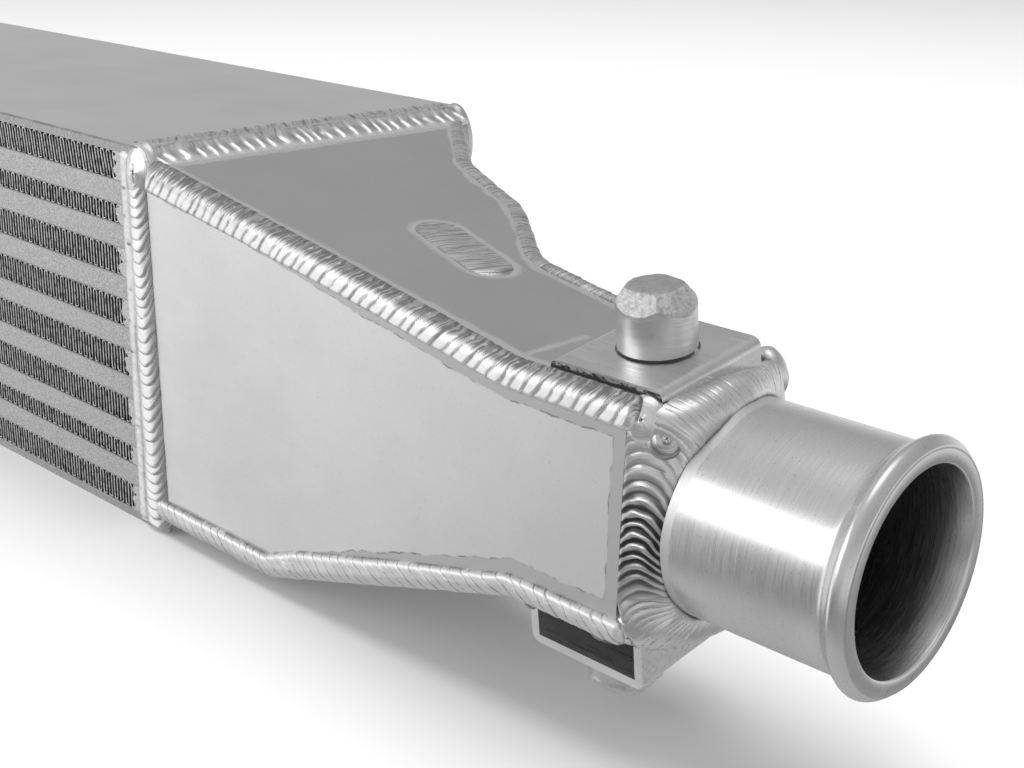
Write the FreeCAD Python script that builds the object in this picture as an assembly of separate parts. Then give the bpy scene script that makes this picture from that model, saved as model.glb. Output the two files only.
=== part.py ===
"""Bar-and-plate intercooler with two fabricated end tanks, for an engine's charge air.

The core is a brazed stack: eight rows of folded cooling fins, open to the front and back,
and seven charge passages between them. Each passage is closed in front and behind by a bar
and holds a folded turbulator. At each end a tank of welded sheet narrows from the full core
to a near square end, where a beaded hose pipe leaves along X. Each tank carries a folded
bracket with a locating peg on top, and another pair below.

Frame: X along the core, -Y the front face, Z up. The origin is centred under the core, on
the surface that the bottom plate rests on. The left tank is the mirror image of the right.
"""
import FreeCAD, Part
import math
import os

Vector = FreeCAD.Vector

# Core stack, mm
core_length = 510.0
core_depth = 138.0
skin_plate = 3.0
tall_row = 9.0
low_row = 6.2
low_row_numbers = (2, 7)
row_count = 8
passage_height = 7.0
parting_sheet = 0.5
bar_width = 10.0
end_bar_width = 11.0

# Folded sheets inside the stack; their pitch is drawn coarser than the real one
fin_gauge = 0.5
fin_pitch = 33.0
turbulator_gauge = 0.6
turbulator_pitch = 20.0

# Hose pipe
pipe_od = 57.0
pipe_wall = 3.0
pipe_reach = 58.0
bead_rise = 3.0
bead_half_width = 4.0
lip_setback = 3.0
bead_facets = 3

# End tank: welded sheet, widths along X from the core joint
tank_sheet = 3.0
tank_length = 198.0
end_plate = 4.0
end_margin_y = 0.6
end_margin_z = 2.8
top_step = 3.0
bottom_step = 5.0
narrow_floor = 36.0
top_level_run = 38.0
bottom_bend_start = 62.0
bottom_level_run = 35.0
shoulder_x = 44.0
shoulder_y = 100.0
waist_x = 82.0
waist_y = 86.0
throat_x = 116.0
shoulder_radius = 30.0
waist_radius = 26.0
throat_radius = 22.0

# Weld beads: a round of this radius, sunk so that it stands proud by the rise
seam_radius = 5.6
seam_sink = 3.3
joint_radius = 8.0
joint_rise = 2.4
collar_length = 11.0
collar_growth = 12.0
collar_tip = 1.5
bead_sides = 10
collar_sides = 12
arc_pieces = 2
patch_length = 44.0
patch_width = 13.0
patch_rise = 1.6
patch_x = 101.0
patch_y = 42.0
patch_turn = -13.0

# Folded brackets and their pegs; both lean with the pegs' common axis
top_bracket_width = 34.8
bottom_bracket_width = 37.0
bracket_depth = 38.6
bracket_sheet = 2.5
bracket_bend = 2.5
bracket_overhang = 2.0
bracket_front = 4.8
bracket_lean = 8.0
top_bracket_height = 2.4
bottom_bracket_drop = 13.0
peg_diameter = 20.0
peg_clearance = 0.5
peg_neck_diameter = 18.0
peg_seat_gap = 0.3
top_peg_setback = 20.0
bottom_peg_setback = 18.0
bottom_peg_shift = -2.5
peg_chamfer_height = 4.5
peg_chamfer = 2.2
top_peg_height = 16.6
bottom_peg_height = 16.5

# Worked out from the values above
front = -core_depth / 2.0
joint_x = core_length / 2.0
level = 2.0 * parting_sheet + passage_height
narrow_height = pipe_od + 2.0 * end_margin_z
narrow_depth = pipe_od + 2.0 * end_margin_y
narrow_top = narrow_floor + narrow_height
pipe_y = front + narrow_depth / 2.0
pipe_z = narrow_floor + narrow_height / 2.0
tank_end = joint_x + tank_length
plate_end = tank_end + end_plate
pipe_mouth = plate_end + pipe_reach


def row_height(row):
    """Height of a fin row, counted from the bottom."""
    return low_row if row in low_row_numbers else tall_row


def row_floor(row):
    """Z of the underside of a fin row, counted from 1 at the bottom."""
    below = sum(row_height(lower) + level for lower in range(1, row))
    return skin_plate + below


core_height = row_floor(row_count) + row_height(row_count) + skin_plate


def box(x0, x1, y0, y1, z0, z1):
    """A box between two corners."""
    return Part.makeBox(x1 - x0, y1 - y0, z1 - z0, Vector(x0, y0, z0))


def both_ends(shape):
    """A piece of the right end with its mirror image at the left end."""
    return [shape, shape.mirror(Vector(0, 0, 0), Vector(1, 0, 0))]


def offset_corners(points, distance):
    """Corners of an open path moved sideways, to its left for a positive distance."""
    lines = []
    for start, end in zip(points, points[1:]):
        run = end - start
        side = Vector(-run.y, run.x, 0).normalize() * distance
        lines.append((start + side, run.normalize()))
    moved = [lines[0][0]]
    for (base_a, way_a), (base_b, way_b) in zip(lines, lines[1:]):
        cross = way_a.x * way_b.y - way_a.y * way_b.x
        gap = base_b - base_a
        along = (gap.x * way_b.y - gap.y * way_b.x) / cross
        moved.append(base_a + way_a * along)
    last_side = lines[-1][0] - points[-2]
    moved.append(points[-1] + last_side)
    return moved


def rounded_path(points, radii):
    """Edges of an open path in the XY plane whose inner corners are rounded."""
    edges = []
    start = points[0]
    for before, corner, after, radius in zip(points, points[1:], points[2:], radii):
        to_before = (before - corner).normalize()
        to_after = (after - corner).normalize()
        half_angle = to_before.getAngle(to_after) / 2.0
        setback = radius / math.tan(half_angle)
        entry = corner + to_before * setback
        leave = corner + to_after * setback
        middle_way = (to_before + to_after).normalize()
        centre = corner + middle_way * (radius / math.sin(half_angle))
        middle = centre - middle_way * radius
        edges.append(Part.LineSegment(start, entry).toShape())
        edges.append(Part.Arc(entry, middle, leave).toShape())
        start = leave
    edges.append(Part.LineSegment(start, points[-1]).toShape())
    return edges


# Outlines of the tank

def at_joint(first, second):
    """Where the straight line through two flat points meets the core joint."""
    return first + (second - first) * ((joint_x - first.x) / (second.x - first.x))


def back_corners():
    """Corners of the tank's back wall in plan, from the joint to the tank's end."""
    narrow_back = front + narrow_depth
    return [
        Vector(joint_x, front + core_depth, 0),
        Vector(joint_x + shoulder_x, front + shoulder_y, 0),
        Vector(joint_x + waist_x, front + waist_y, 0),
        Vector(joint_x + throat_x, narrow_back, 0),
        Vector(tank_end, narrow_back, 0),
    ]


def back_edges(inset):
    """The back wall's line in plan, moved inwards by the inset."""
    corners = offset_corners(back_corners(), -inset)
    corners[0] = at_joint(corners[0], corners[1])
    radii = (shoulder_radius - inset, waist_radius + inset, throat_radius - inset)
    return rounded_path(corners, radii)


def top_corners():
    """The tank's top line in side view, as X and Z."""
    start = core_height - top_step
    return [(joint_x, start), (tank_end - top_level_run, narrow_top), (tank_end, narrow_top)]


def bottom_corners():
    """The tank's bottom line in side view, as X and Z."""
    return [
        (joint_x, bottom_step),
        (joint_x + bottom_bend_start, bottom_step),
        (tank_end - bottom_level_run, narrow_floor),
        (tank_end, narrow_floor),
    ]


def moved_line(corners, distance):
    """A side-view line moved by a distance, up for a positive one."""
    flat = offset_corners([Vector(x, z, 0) for x, z in corners], distance)
    flat[0] = at_joint(flat[0], flat[1])
    return [(point.x, point.y) for point in flat]


def side_prism(inset):
    """The tank's side outline, less the inset at top and bottom, right through in Y."""
    lower = moved_line(bottom_corners(), inset)
    upper = moved_line(top_corners(), -inset)
    outline = [Vector(x, front, z) for x, z in lower + upper[::-1]]
    face = Part.Face(Part.makePolygon(outline + outline[:1]))
    return face.extrude(Vector(0, core_depth, 0))


def plan_prism(inset):
    """The tank's plan outline, less the inset at the front and back walls."""
    near = front + inset
    edges = back_edges(inset)
    first = edges[0].Vertexes[0].Point
    last = edges[-1].Vertexes[-1].Point
    corners = [last, Vector(tank_end, near, 0), Vector(joint_x, near, 0), first]
    closing = [Part.LineSegment(a, b).toShape() for a, b in zip(corners, corners[1:])]
    face = Part.Face(Part.Wire(edges + closing))
    return face.extrude(Vector(0, 0, core_height))


def tank_envelope():
    """The whole outer form of the right tank, without its end plate."""
    return side_prism(0.0).common(plan_prism(0.0))


# Core

def core_plates():
    """The two skins that close the stack."""
    back = front + core_depth
    bottom = box(-joint_x, joint_x, front, back, 0, skin_plate)
    top = box(-joint_x, joint_x, front, back, core_height - skin_plate, core_height)
    return {"core_bottom_plate": [bottom], "core_top_plate": [top]}


def zigzag(pitch, gauge, length, height):
    """Outline of a folded sheet along the first axis, as pairs of length and height."""
    folds = 2 * max(1, round(length / pitch))
    step = length / folds
    slant = math.hypot(step, height)
    rise = gauge * slant / step
    lower = []
    upper = []
    for fold in range(folds + 1):
        crest = fold % 2
        lower.append((fold * step, (height - rise) * crest))
        upper.append((fold * step, rise + (height - rise) * crest))
    return lower + upper[::-1]


def air_fins(row):
    """One row of cooling fins: a sheet folded along X, open to the front and back."""
    length = core_length - 2.0 * end_bar_width
    floor = row_floor(row)
    outline = zigzag(fin_pitch, fin_gauge, length, row_height(row))
    start = -length / 2.0
    points = [Vector(start + along, front, floor + up) for along, up in outline]
    face = Part.Face(Part.makePolygon(points + points[:1]))
    return face.extrude(Vector(0, core_depth, 0))


def turbulator(row):
    """The folded sheet inside the charge passage above a fin row, folded along Y."""
    length = core_depth - 2.0 * bar_width
    floor = row_floor(row) + row_height(row) + parting_sheet
    outline = zigzag(turbulator_pitch, turbulator_gauge, length, passage_height)
    start = front + bar_width
    points = [Vector(-joint_x, start + along, floor + up) for along, up in outline]
    face = Part.Face(Part.makePolygon(points + points[:1]))
    return face.extrude(Vector(core_length, 0, 0))


def passage_bars(row):
    """The front and back bars that close the charge passage above a fin row."""
    back = front + core_depth
    floor = row_floor(row) + row_height(row) + parting_sheet
    roof = floor + passage_height
    front_bar = box(-joint_x, joint_x, front, front + bar_width, floor, roof)
    back_bar = box(-joint_x, joint_x, back - bar_width, back, floor, roof)
    return [front_bar, back_bar]


def parting_sheets():
    """The thin sheets between the fin rows and the charge passages."""
    sheets = []
    back = front + core_depth
    for row in range(1, row_count):
        lower = row_floor(row) + row_height(row)
        upper = lower + parting_sheet + passage_height
        for floor in (lower, upper):
            sheets.append(box(-joint_x, joint_x, front, back, floor, floor + parting_sheet))
    return sheets


def row_end_bars():
    """The bars that close each fin row towards the right tank."""
    bars = []
    inner = joint_x - end_bar_width
    back = front + core_depth
    for row in range(1, row_count + 1):
        floor = row_floor(row)
        roof = floor + row_height(row)
        bars.append(box(inner, joint_x, front, back, floor, roof))
    return bars


# Tank

def tank_panels():
    """The sheets of the right tank: front panel, back wall, top and bottom panels."""
    envelope = tank_envelope()
    near_slab = box(joint_x, tank_end, front, front + tank_sheet, 0, core_height)
    inner_plan = plan_prism(tank_sheet)
    front_panel = envelope.common(near_slab)
    back_wall = envelope.cut(inner_plan).cut(near_slab)
    lids = envelope.common(inner_plan).cut(side_prism(tank_sheet))
    bottom, top = sorted(lids.Solids, key=lambda lid: lid.CenterOfMass.z)
    return {
        "tank_front_panel": front_panel.Solids[0],
        "tank_back_wall": back_wall.Solids[0],
        "tank_top_panel": top,
        "tank_bottom_panel": bottom,
    }


def pipe_space():
    """All that lies within the pipe's outer wall, from the tank's end to the mouth."""
    start = Vector(tank_end, pipe_y, pipe_z)
    return Part.makeCylinder(pipe_od / 2.0, pipe_mouth - tank_end, start, Vector(1, 0, 0))


def end_plate_solid():
    """The plate that closes the tank's narrow end, with a hole for the pipe."""
    back = front + narrow_depth
    plate = box(tank_end, plate_end, front, back, narrow_floor, narrow_top)
    return plate.cut(pipe_space())


def hose_pipe():
    """The pipe with its rolled bead near the mouth, turned about its own axis."""
    outer = pipe_od / 2.0
    bore = outer - pipe_wall
    crest = pipe_mouth - lip_setback
    bead_round = (bead_half_width ** 2 + bead_rise ** 2) / (2.0 * bead_rise)
    profile = [(tank_end, bore), (tank_end, outer)]
    for step in range(bead_facets + 1):
        x = crest - bead_half_width + (bead_half_width + lip_setback) * step / bead_facets
        height = outer + bead_rise - bead_round + math.sqrt(bead_round ** 2 - (x - crest) ** 2)
        profile.append((x, height))
    profile.append((pipe_mouth, bore))
    corners = [Vector(x, 0, radius) for x, radius in profile]
    face = Part.Face(Part.makePolygon(corners + corners[:1]))
    pipe = face.revolve(Vector(0, 0, 0), Vector(1, 0, 0), 360)
    pipe.translate(Vector(0, pipe_y, pipe_z))
    return pipe


# Brackets and pegs

def leaning(shape, width, height):
    """A shape drawn upright on its bracket's front edge, leaned and put at a height."""
    placed = shape.copy()
    placed.rotate(Vector(0, 0, 0), Vector(1, 0, 0), bracket_lean)
    right = plate_end + bracket_overhang
    placed.translate(Vector(right - width, front + bracket_front, height))
    return placed


def channel(width, leg, peg_x, peg_y):
    """A folded channel under its own top face, with bent corners and a peg hole."""
    outer = box(0, width, 0, bracket_depth, -leg, 0)
    inner = box(bracket_sheet, width - bracket_sheet, 0, bracket_depth, -leg, -bracket_sheet)
    rims = [edge for edge in outer.Edges if is_rim(edge)]
    body = outer.makeFillet(bracket_bend, rims).cut(inner)
    hole_radius = peg_diameter / 2.0 + peg_clearance
    hole = Part.makeCylinder(hole_radius, leg, Vector(peg_x, peg_y, -leg))
    return body.cut(hole)


def is_rim(edge):
    """Whether an edge is one of the two bends along the channel's top."""
    ends = [vertex.Point for vertex in edge.Vertexes]
    level_top = all(abs(point.z) < bracket_sheet / 2.0 for point in ends)
    along_y = abs(ends[0].x - ends[1].x) < bracket_sheet / 2.0
    return level_top and along_y


def peg(height, root, peg_x, peg_y):
    """A locating peg with a bevelled end, whose neck goes through the bracket to the tank."""
    radius = peg_diameter / 2.0
    neck_radius = peg_neck_diameter / 2.0
    neck = Part.makeCylinder(neck_radius, root + peg_seat_gap, Vector(peg_x, peg_y, -root))
    straight = height - peg_chamfer_height - peg_seat_gap
    shank = Part.makeCylinder(radius, straight, Vector(peg_x, peg_y, peg_seat_gap))
    bevel_foot = Vector(peg_x, peg_y, height - peg_chamfer_height)
    bevel = Part.makeCone(radius, radius - peg_chamfer, peg_chamfer_height, bevel_foot)
    return neck.fuse(shank).fuse(bevel).removeSplitter()


def upside_down(shape, width):
    """A shape turned over about the middle of its bracket."""
    turned = shape.copy()
    turned.rotate(Vector(width / 2.0, 0, 0), Vector(0, 1, 0), 180)
    return turned


def end_fittings():
    """Top and bottom brackets and pegs of the right tank, trimmed to the tank."""
    back = front + core_depth
    reach = bracket_depth + bottom_bracket_drop
    limit = plate_end + reach
    above = box(joint_x, limit, front, back, narrow_top, core_height + reach)
    below = box(joint_x, limit, front, back, 0, narrow_floor)
    top_height = narrow_top + top_bracket_height
    bottom_height = narrow_floor - bottom_bracket_drop
    top_x = top_bracket_width / 2.0
    top_peg = peg(top_peg_height, reach, top_x, top_peg_setback)
    bottom_x = bottom_bracket_width / 2.0 - bottom_peg_shift
    bottom_peg = peg(bottom_peg_height, reach, bottom_x, bottom_peg_setback)
    bottom_peg = upside_down(bottom_peg, bottom_bracket_width)
    top = channel(top_bracket_width, reach, top_x, top_peg_setback)
    bottom = channel(bottom_bracket_width, reach, bottom_x, bottom_peg_setback)
    bottom = upside_down(bottom, bottom_bracket_width)
    return {
        "top_brackets": leaning(top, top_bracket_width, top_height).common(above),
        "top_pegs": leaning(top_peg, top_bracket_width, top_height).common(above),
        "bottom_brackets": leaning(bottom, bottom_bracket_width, bottom_height).common(below),
        "bottom_pegs": leaning(bottom_peg, bottom_bracket_width, bottom_height).common(below),
    }


# Weld beads

def many_sided(centre, way, radius, sides):
    """A closed many-sided ring about a centre, square to its way."""
    steep = abs(way.z) > way.Length / 2.0
    across = Vector(1, 0, 0) if steep else way.cross(Vector(0, 0, 1)).normalize()
    upward = across.cross(way).normalize()
    corners = []
    for side in range(sides + 1):
        angle = 2.0 * math.pi * (side + 0.5) / sides
        spoke = across * math.cos(angle) + upward * math.sin(angle)
        corners.append(centre + spoke * radius)
    return Part.makePolygon(corners)


def bead_along(points, radius):
    """A bead of many-sided section along a path of straight runs with mitred corners."""
    ring = many_sided(points[0], points[1] - points[0], radius, bead_sides)
    mitred = 1
    return Part.makePolygon(points).makePipeShell([ring], True, False, mitred)


def seam_line(corners, way):
    """A side-view line sunk into the tank, run on to the end plate's face."""
    line = moved_line(corners, way * seam_sink)
    line[-1] = (plate_end, line[-1][1])
    return line


def height_on(line, x):
    """Height of a side-view line at X."""
    for (x0, z0), (x1, z1) in zip(line, line[1:]):
        if x <= x1:
            return z0 + (z1 - z0) * (x - x0) / (x1 - x0)
    return line[-1][1]


def front_seam(corners, way):
    """The bead along the front panel's top or bottom edge."""
    line = seam_line(corners, way)
    return bead_along([Vector(x, front + seam_sink, z) for x, z in line], seam_radius)


def back_seam(corners, way):
    """The bead along the back wall's top or bottom edge, following its curve in plan."""
    line = seam_line(corners, way)
    plan = []
    for edge in back_edges(seam_sink):
        pieces = 1 if edge.Length > waist_radius else arc_pieces
        plan += edge.discretize(pieces + 1)[:-1]
    plan.append(Vector(plate_end, plan[-1].y, 0))
    bends = [x for x, height in line[1:-1]]
    for bend in bends:
        place = next(index for index, point in enumerate(plan) if point.x > bend)
        before, after = plan[place - 1], plan[place]
        share = (bend - before.x) / (after.x - before.x)
        plan.insert(place, before + (after - before) * share)
    points = [Vector(point.x, point.y, height_on(line, point.x)) for point in plan]
    return bead_along(points, seam_radius)


def joint_bead():
    """The bead round the joint between the core and the tank."""
    near = front + joint_radius - joint_rise
    far = front + core_depth - joint_radius + joint_rise
    top = core_height - joint_radius + joint_rise
    hoop = [Vector(joint_x, y, z) for y, z in ((near, 0), (near, top), (far, top), (far, 0))]
    start = Vector(joint_x, front, bottom_step)
    foot = Part.makeCylinder(bottom_step, core_depth, start, Vector(0, 1, 0))
    return bead_along(hoop, joint_radius).fuse(foot)


def collar_bead():
    """The fillet of weld metal between the square end plate and the round pipe."""
    outer = pipe_od / 2.0
    middle = Vector(plate_end, pipe_y, pipe_z)
    ahead = Vector(collar_length, 0, 0)
    root = many_sided(middle, ahead, outer + collar_growth, collar_sides)
    tip_ring = many_sided(middle + ahead, ahead, outer + collar_tip, collar_sides)
    flare = Part.makeLoft([root, tip_ring], True, True)
    rise = seam_radius - seam_sink
    back = front + narrow_depth
    tip = plate_end + collar_length
    limits = box(plate_end, tip, front - rise, back + rise, narrow_floor - rise, narrow_top + rise)
    return flare.common(limits)


def patch_bead():
    """The long welded patch on the tank's sloping top panel."""
    radius = patch_width / 2.0
    half = patch_length / 2.0 - radius
    bar = box(-half, half, -radius, radius, 0, patch_rise)
    left = Part.makeCylinder(radius, patch_rise, Vector(-half, 0, 0))
    right = Part.makeCylinder(radius, patch_rise, Vector(half, 0, 0))
    pad = bar.fuse(left).fuse(right).removeSplitter()
    (x0, z0), (x1, z1) = top_corners()[:2]
    slope = math.degrees(math.atan2(z0 - z1, x1 - x0))
    pad.rotate(Vector(0, 0, 0), Vector(0, 0, 1), patch_turn)
    pad.rotate(Vector(0, 0, 0), Vector(0, 1, 0), slope)
    height = height_on(top_corners(), joint_x + patch_x)
    pad.translate(Vector(joint_x + patch_x, front + patch_y, height))
    return pad


def weld_beads(solid_parts):
    """All beads of the right end, each trimmed to the metal that it lies on."""
    back = front + core_depth
    taken = box(-joint_x, joint_x, front, back, 0, core_height)
    for piece in solid_parts:
        taken = taken.fuse(piece)
    near = front - core_depth
    far = back + core_depth
    ground = box(0, pipe_mouth, near, far, 0, 2.0 * core_height)
    raw = {
        "core_joint_beads": joint_bead(),
        "front_top_seam_beads": front_seam(top_corners(), -1),
        "front_bottom_seam_beads": front_seam(bottom_corners(), 1),
        "back_top_seam_beads": back_seam(top_corners(), -1),
        "back_bottom_seam_beads": back_seam(bottom_corners(), 1),
        "pipe_collar_beads": collar_bead(),
    }
    beads = {}
    for name, shape in raw.items():
        trimmed = shape.common(ground).cut(taken)
        solid = max(trimmed.Solids, key=lambda part: part.Volume)
        beads[name] = solid
        taken = taken.fuse(solid)
    beads["patch_beads"] = patch_bead()
    return beads


def build():
    """Every node of the part as lists of solids."""
    nodes = core_plates()
    nodes["parting_sheets"] = parting_sheets()
    nodes["row_end_bars_right"] = row_end_bars()
    nodes["row_end_bars_left"] = [both_ends(bar)[1] for bar in row_end_bars()]
    for row in range(1, row_count + 1):
        nodes[f"air_fins_{row}"] = [air_fins(row)]
    for row in range(1, row_count):
        nodes[f"passage_bars_{row}"] = passage_bars(row)
        nodes[f"turbulator_{row}"] = [turbulator(row)]
    panels = tank_panels()
    for name, panel in panels.items():
        right, left = both_ends(panel)
        nodes[f"{name}_right"] = [right]
        nodes[f"{name}_left"] = [left]
    plate = end_plate_solid()
    nodes["end_plates"] = both_ends(plate)
    pipe = hose_pipe()
    nodes["hose_pipes"] = both_ends(pipe)
    fittings = end_fittings()
    for name, piece in fittings.items():
        nodes[name] = [solid for side in both_ends(piece) for solid in side.Solids]
    plate_block = plate.fuse(pipe_space())
    beads = weld_beads([tank_envelope(), plate_block] + list(fittings.values()))
    for name, bead in beads.items():
        nodes[name] = both_ends(bead)
    return nodes


def write_parts(nodes):
    """One STEP file for each node."""
    os.makedirs("parts", exist_ok=True)
    for name, solids in nodes.items():
        shape = solids[0] if len(solids) == 1 else Part.makeCompound(solids)
        shape.exportStep(f"parts/{name}.step")


write_parts(build())
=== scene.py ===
"""Looks of the bar-and-plate intercooler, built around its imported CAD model.

Each operator dresses one group of pieces: the core's folded fins, its plates and bars, the
sheet tanks, the weld beads, the hose pipes, the brackets with their pegs, and the stage with
its camera and lights. All lengths are metres in the CAD frame: X along the core, -Y the front.
"""

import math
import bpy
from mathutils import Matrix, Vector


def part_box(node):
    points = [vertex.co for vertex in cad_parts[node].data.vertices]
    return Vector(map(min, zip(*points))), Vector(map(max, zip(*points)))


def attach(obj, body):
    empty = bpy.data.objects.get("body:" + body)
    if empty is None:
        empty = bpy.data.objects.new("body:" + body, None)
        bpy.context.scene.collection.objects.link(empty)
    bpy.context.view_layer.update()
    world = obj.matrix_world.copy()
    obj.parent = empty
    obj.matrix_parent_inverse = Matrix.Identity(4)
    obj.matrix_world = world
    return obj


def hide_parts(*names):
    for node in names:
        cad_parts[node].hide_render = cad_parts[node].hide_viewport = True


bl_info = {
    "name": "Intercooler looks",
    "version": (1, 0, 0),
    "blender": (4, 5, 0),
    "location": "View3D > Sidebar > Intercooler",
    "description": "Fins, weld beads, pipes, fittings and finishes of an intercooler",
    "category": "Object",
}

import bpy
import numpy as np
from bpy.props import FloatProperty, IntProperty, PointerProperty
from mathutils import Matrix, Vector

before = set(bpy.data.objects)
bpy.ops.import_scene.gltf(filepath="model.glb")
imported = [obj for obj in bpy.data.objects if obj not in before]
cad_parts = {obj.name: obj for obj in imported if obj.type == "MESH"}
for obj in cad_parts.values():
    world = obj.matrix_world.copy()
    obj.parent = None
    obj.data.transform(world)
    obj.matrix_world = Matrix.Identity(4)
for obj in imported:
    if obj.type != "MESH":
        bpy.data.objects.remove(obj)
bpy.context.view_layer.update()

MM = 0.001
core_low, core_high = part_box("core_top_plate")
JOINT_X = core_high.x
FRONT = core_low.y
BACK = core_high.y
CORE_TOP = core_high.z
plate_low, plate_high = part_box("end_plates")
PLATE_END = plate_high.x
pipe_low, pipe_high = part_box("hose_pipes")
PIPE_Y = (pipe_low.y + pipe_high.y) / 2.0
PIPE_Z = (pipe_low.z + pipe_high.z) / 2.0
FIN_ROWS = range(1, 9)


# Sizes and colours that a user would change

def length(name, description, default):
    """A length property in metres, given in millimetres."""
    return FloatProperty(
        name=name, description=description, default=default * MM, unit="LENGTH", precision=5
    )


def tone(name, description, default):
    """A grey between black and white."""
    return FloatProperty(
        name=name, description=description, default=default, min=0.0, max=1.0, subtype="FACTOR"
    )


class FinSizes(bpy.types.PropertyGroup):
    """Folded sheet of the air rows."""

    period: length("Fold period", "Distance from one loop top to the next", 3.45)
    gauge: length("Sheet", "Thickness of the folded sheet", 0.42)
    recess: length("Recess", "How far the fins stand back from the bars", 0.3)
    bend: length("Bent legs", "How far the legs of the top row slant", 0.75)
    seed: IntProperty(name="Seed", description="Unevenness of the legs", default=7)


class WeldSizes(bpy.types.PropertyGroup):
    """Ripples and sections of the weld beads."""

    seam_rise: length("Seam rise", "Metal over the panels along their edges", 2.05)
    seam_pitch: length("Seam ripple", "Spacing of the ripples on the seams", 3.9)
    joint_width: length("Joint width", "Half width of the beads down the core joint", 6.2)
    joint_rise: length("Joint rise", "Height of the beads down the core joint", 1.75)
    joint_pitch: length("Joint ripple", "Spacing of the ripples on the core joint", 3.6)
    cap_width: length("Cap width", "Half width of the bead over the core's top", 10.2)
    cap_rise: length("Cap rise", "Height of the bead over the core's top", 2.2)
    cap_pitch: length("Cap ripple", "Spacing of the ripples over the core's top", 4.9)
    ripple: length("Ripple depth", "Depth of the ripples", 0.24)
    collar_reach: length("Collar reach", "Mean length of the collar on the pipe", 7.9)


class PipeSizes(bpy.types.PropertyGroup):
    """Hose pipe and its rolled bead."""

    radius: length("Radius", "Outer radius of the pipe", 28.5)
    wall: length("Wall", "Thickness of the pipe's wall", 3.0)
    reach: length("Reach", "Length of pipe outside the end plate", 58.0)
    bead_rise: length("Bead rise", "Height of the rolled bead", 3.0)
    bead_half: length("Bead half width", "Half width of the rolled bead", 4.0)
    lip: length("Lip", "Pipe beyond the middle of the rolled bead", 3.0)


class MetalTones(bpy.types.PropertyGroup):
    """Greys of the bare aluminium."""

    plate: tone("Core plate", "Rolled plates over and under the core", 0.75)
    panel: tone("Tank panel", "Satin sheet of the tanks", 0.61)
    # The front panel's grey, lighter than the other panels' on the same sheet, is partly painted light.
    front: tone("Front panel", "Sanded front panel of the tanks", 0.8)
    bar: tone("Bars", "Sandy bars of the core", 0.64)
    fin: tone("Fins", "Edges of the folded fins", 0.8)
    weld: tone("Weld", "Weld metal", 0.93)
    pipe: tone("Pipe", "Hose pipe", 0.78)
    fitting: tone("Fittings", "Brackets and pegs", 0.76)


# Shader maths

class Value:
    """One shader socket; sums with it are written as Python expressions."""

    def __init__(self, finish, socket):
        self.finish = finish
        self.socket = socket

    def maths(self, operation, *values):
        """A Math node over these values."""
        sockets = dict(enumerate(values))
        return self.finish.node("ShaderNodeMath", {"operation": operation}, sockets)

    def __add__(self, other):
        return self.maths("ADD", self, other)

    def __radd__(self, other):
        return self.maths("ADD", other, self)

    def __sub__(self, other):
        return self.maths("SUBTRACT", self, other)

    def __rsub__(self, other):
        return self.maths("SUBTRACT", other, self)

    def __mul__(self, other):
        return self.maths("MULTIPLY", self, other)

    def __rmul__(self, other):
        return self.maths("MULTIPLY", other, self)

    def __truediv__(self, other):
        return self.maths("DIVIDE", self, other)

    def at_most(self, other):
        return self.maths("MINIMUM", self, other)

    def at_least(self, other):
        return self.maths("MAXIMUM", self, other)

    def size(self):
        return self.maths("ABSOLUTE", self)

    def root(self):
        return self.maths("SQRT", self)

    def ramp(self, low, high):
        """0 below the low value, 1 above the high one, smooth between."""
        settings = {"interpolation_type": "SMOOTHSTEP"}
        sockets = {"Value": self, "From Min": low, "From Max": high}
        return self.finish.node("ShaderNodeMapRange", settings, sockets)


class Nodes:
    """A node tree that is filled one node at a time."""

    def __init__(self, tree, place):
        self.tree = tree
        self.place = self.node("ShaderNodeTexCoord", {}, {}, place)

    def node(self, kind, settings, sockets, output=0):
        """Adds a node: its settings first, then the values or links of its sockets."""
        made = self.tree.nodes.new(kind)
        for name, setting in settings.items():
            if name == "stops":
                self.set_stops(made.color_ramp, setting)
            else:
                setattr(made, name, setting)
        for key, value in sockets.items():
            self.feed(made.inputs[key], value)
        return Value(self, made.outputs[output])

    def set_stops(self, ramp, stops):
        """Greys of a colour ramp as pairs of position and grey."""
        while len(ramp.elements) < len(stops):
            ramp.elements.new(1.0)
        for element, (position, level) in zip(ramp.elements, stops):
            element.position = position
            element.color = colour(level)

    def feed(self, socket, value):
        """Sets a socket to a number or links it."""
        if isinstance(value, Value):
            self.tree.links.new(value.socket, socket)
        else:
            socket.default_value = value

    def part_of(self, axis):
        """X, Y or Z of the place on the object, or of the direction into the room."""
        return self.node("ShaderNodeSeparateXYZ", {}, {0: self.place}, axis)

    def blend(self, share, first, second):
        """Mixes two colours, each a grey or a link."""
        sockets = {0: share, 6: colour(first), 7: colour(second)}
        return self.node("ShaderNodeMix", {"data_type": "RGBA"}, sockets, 2)


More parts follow.
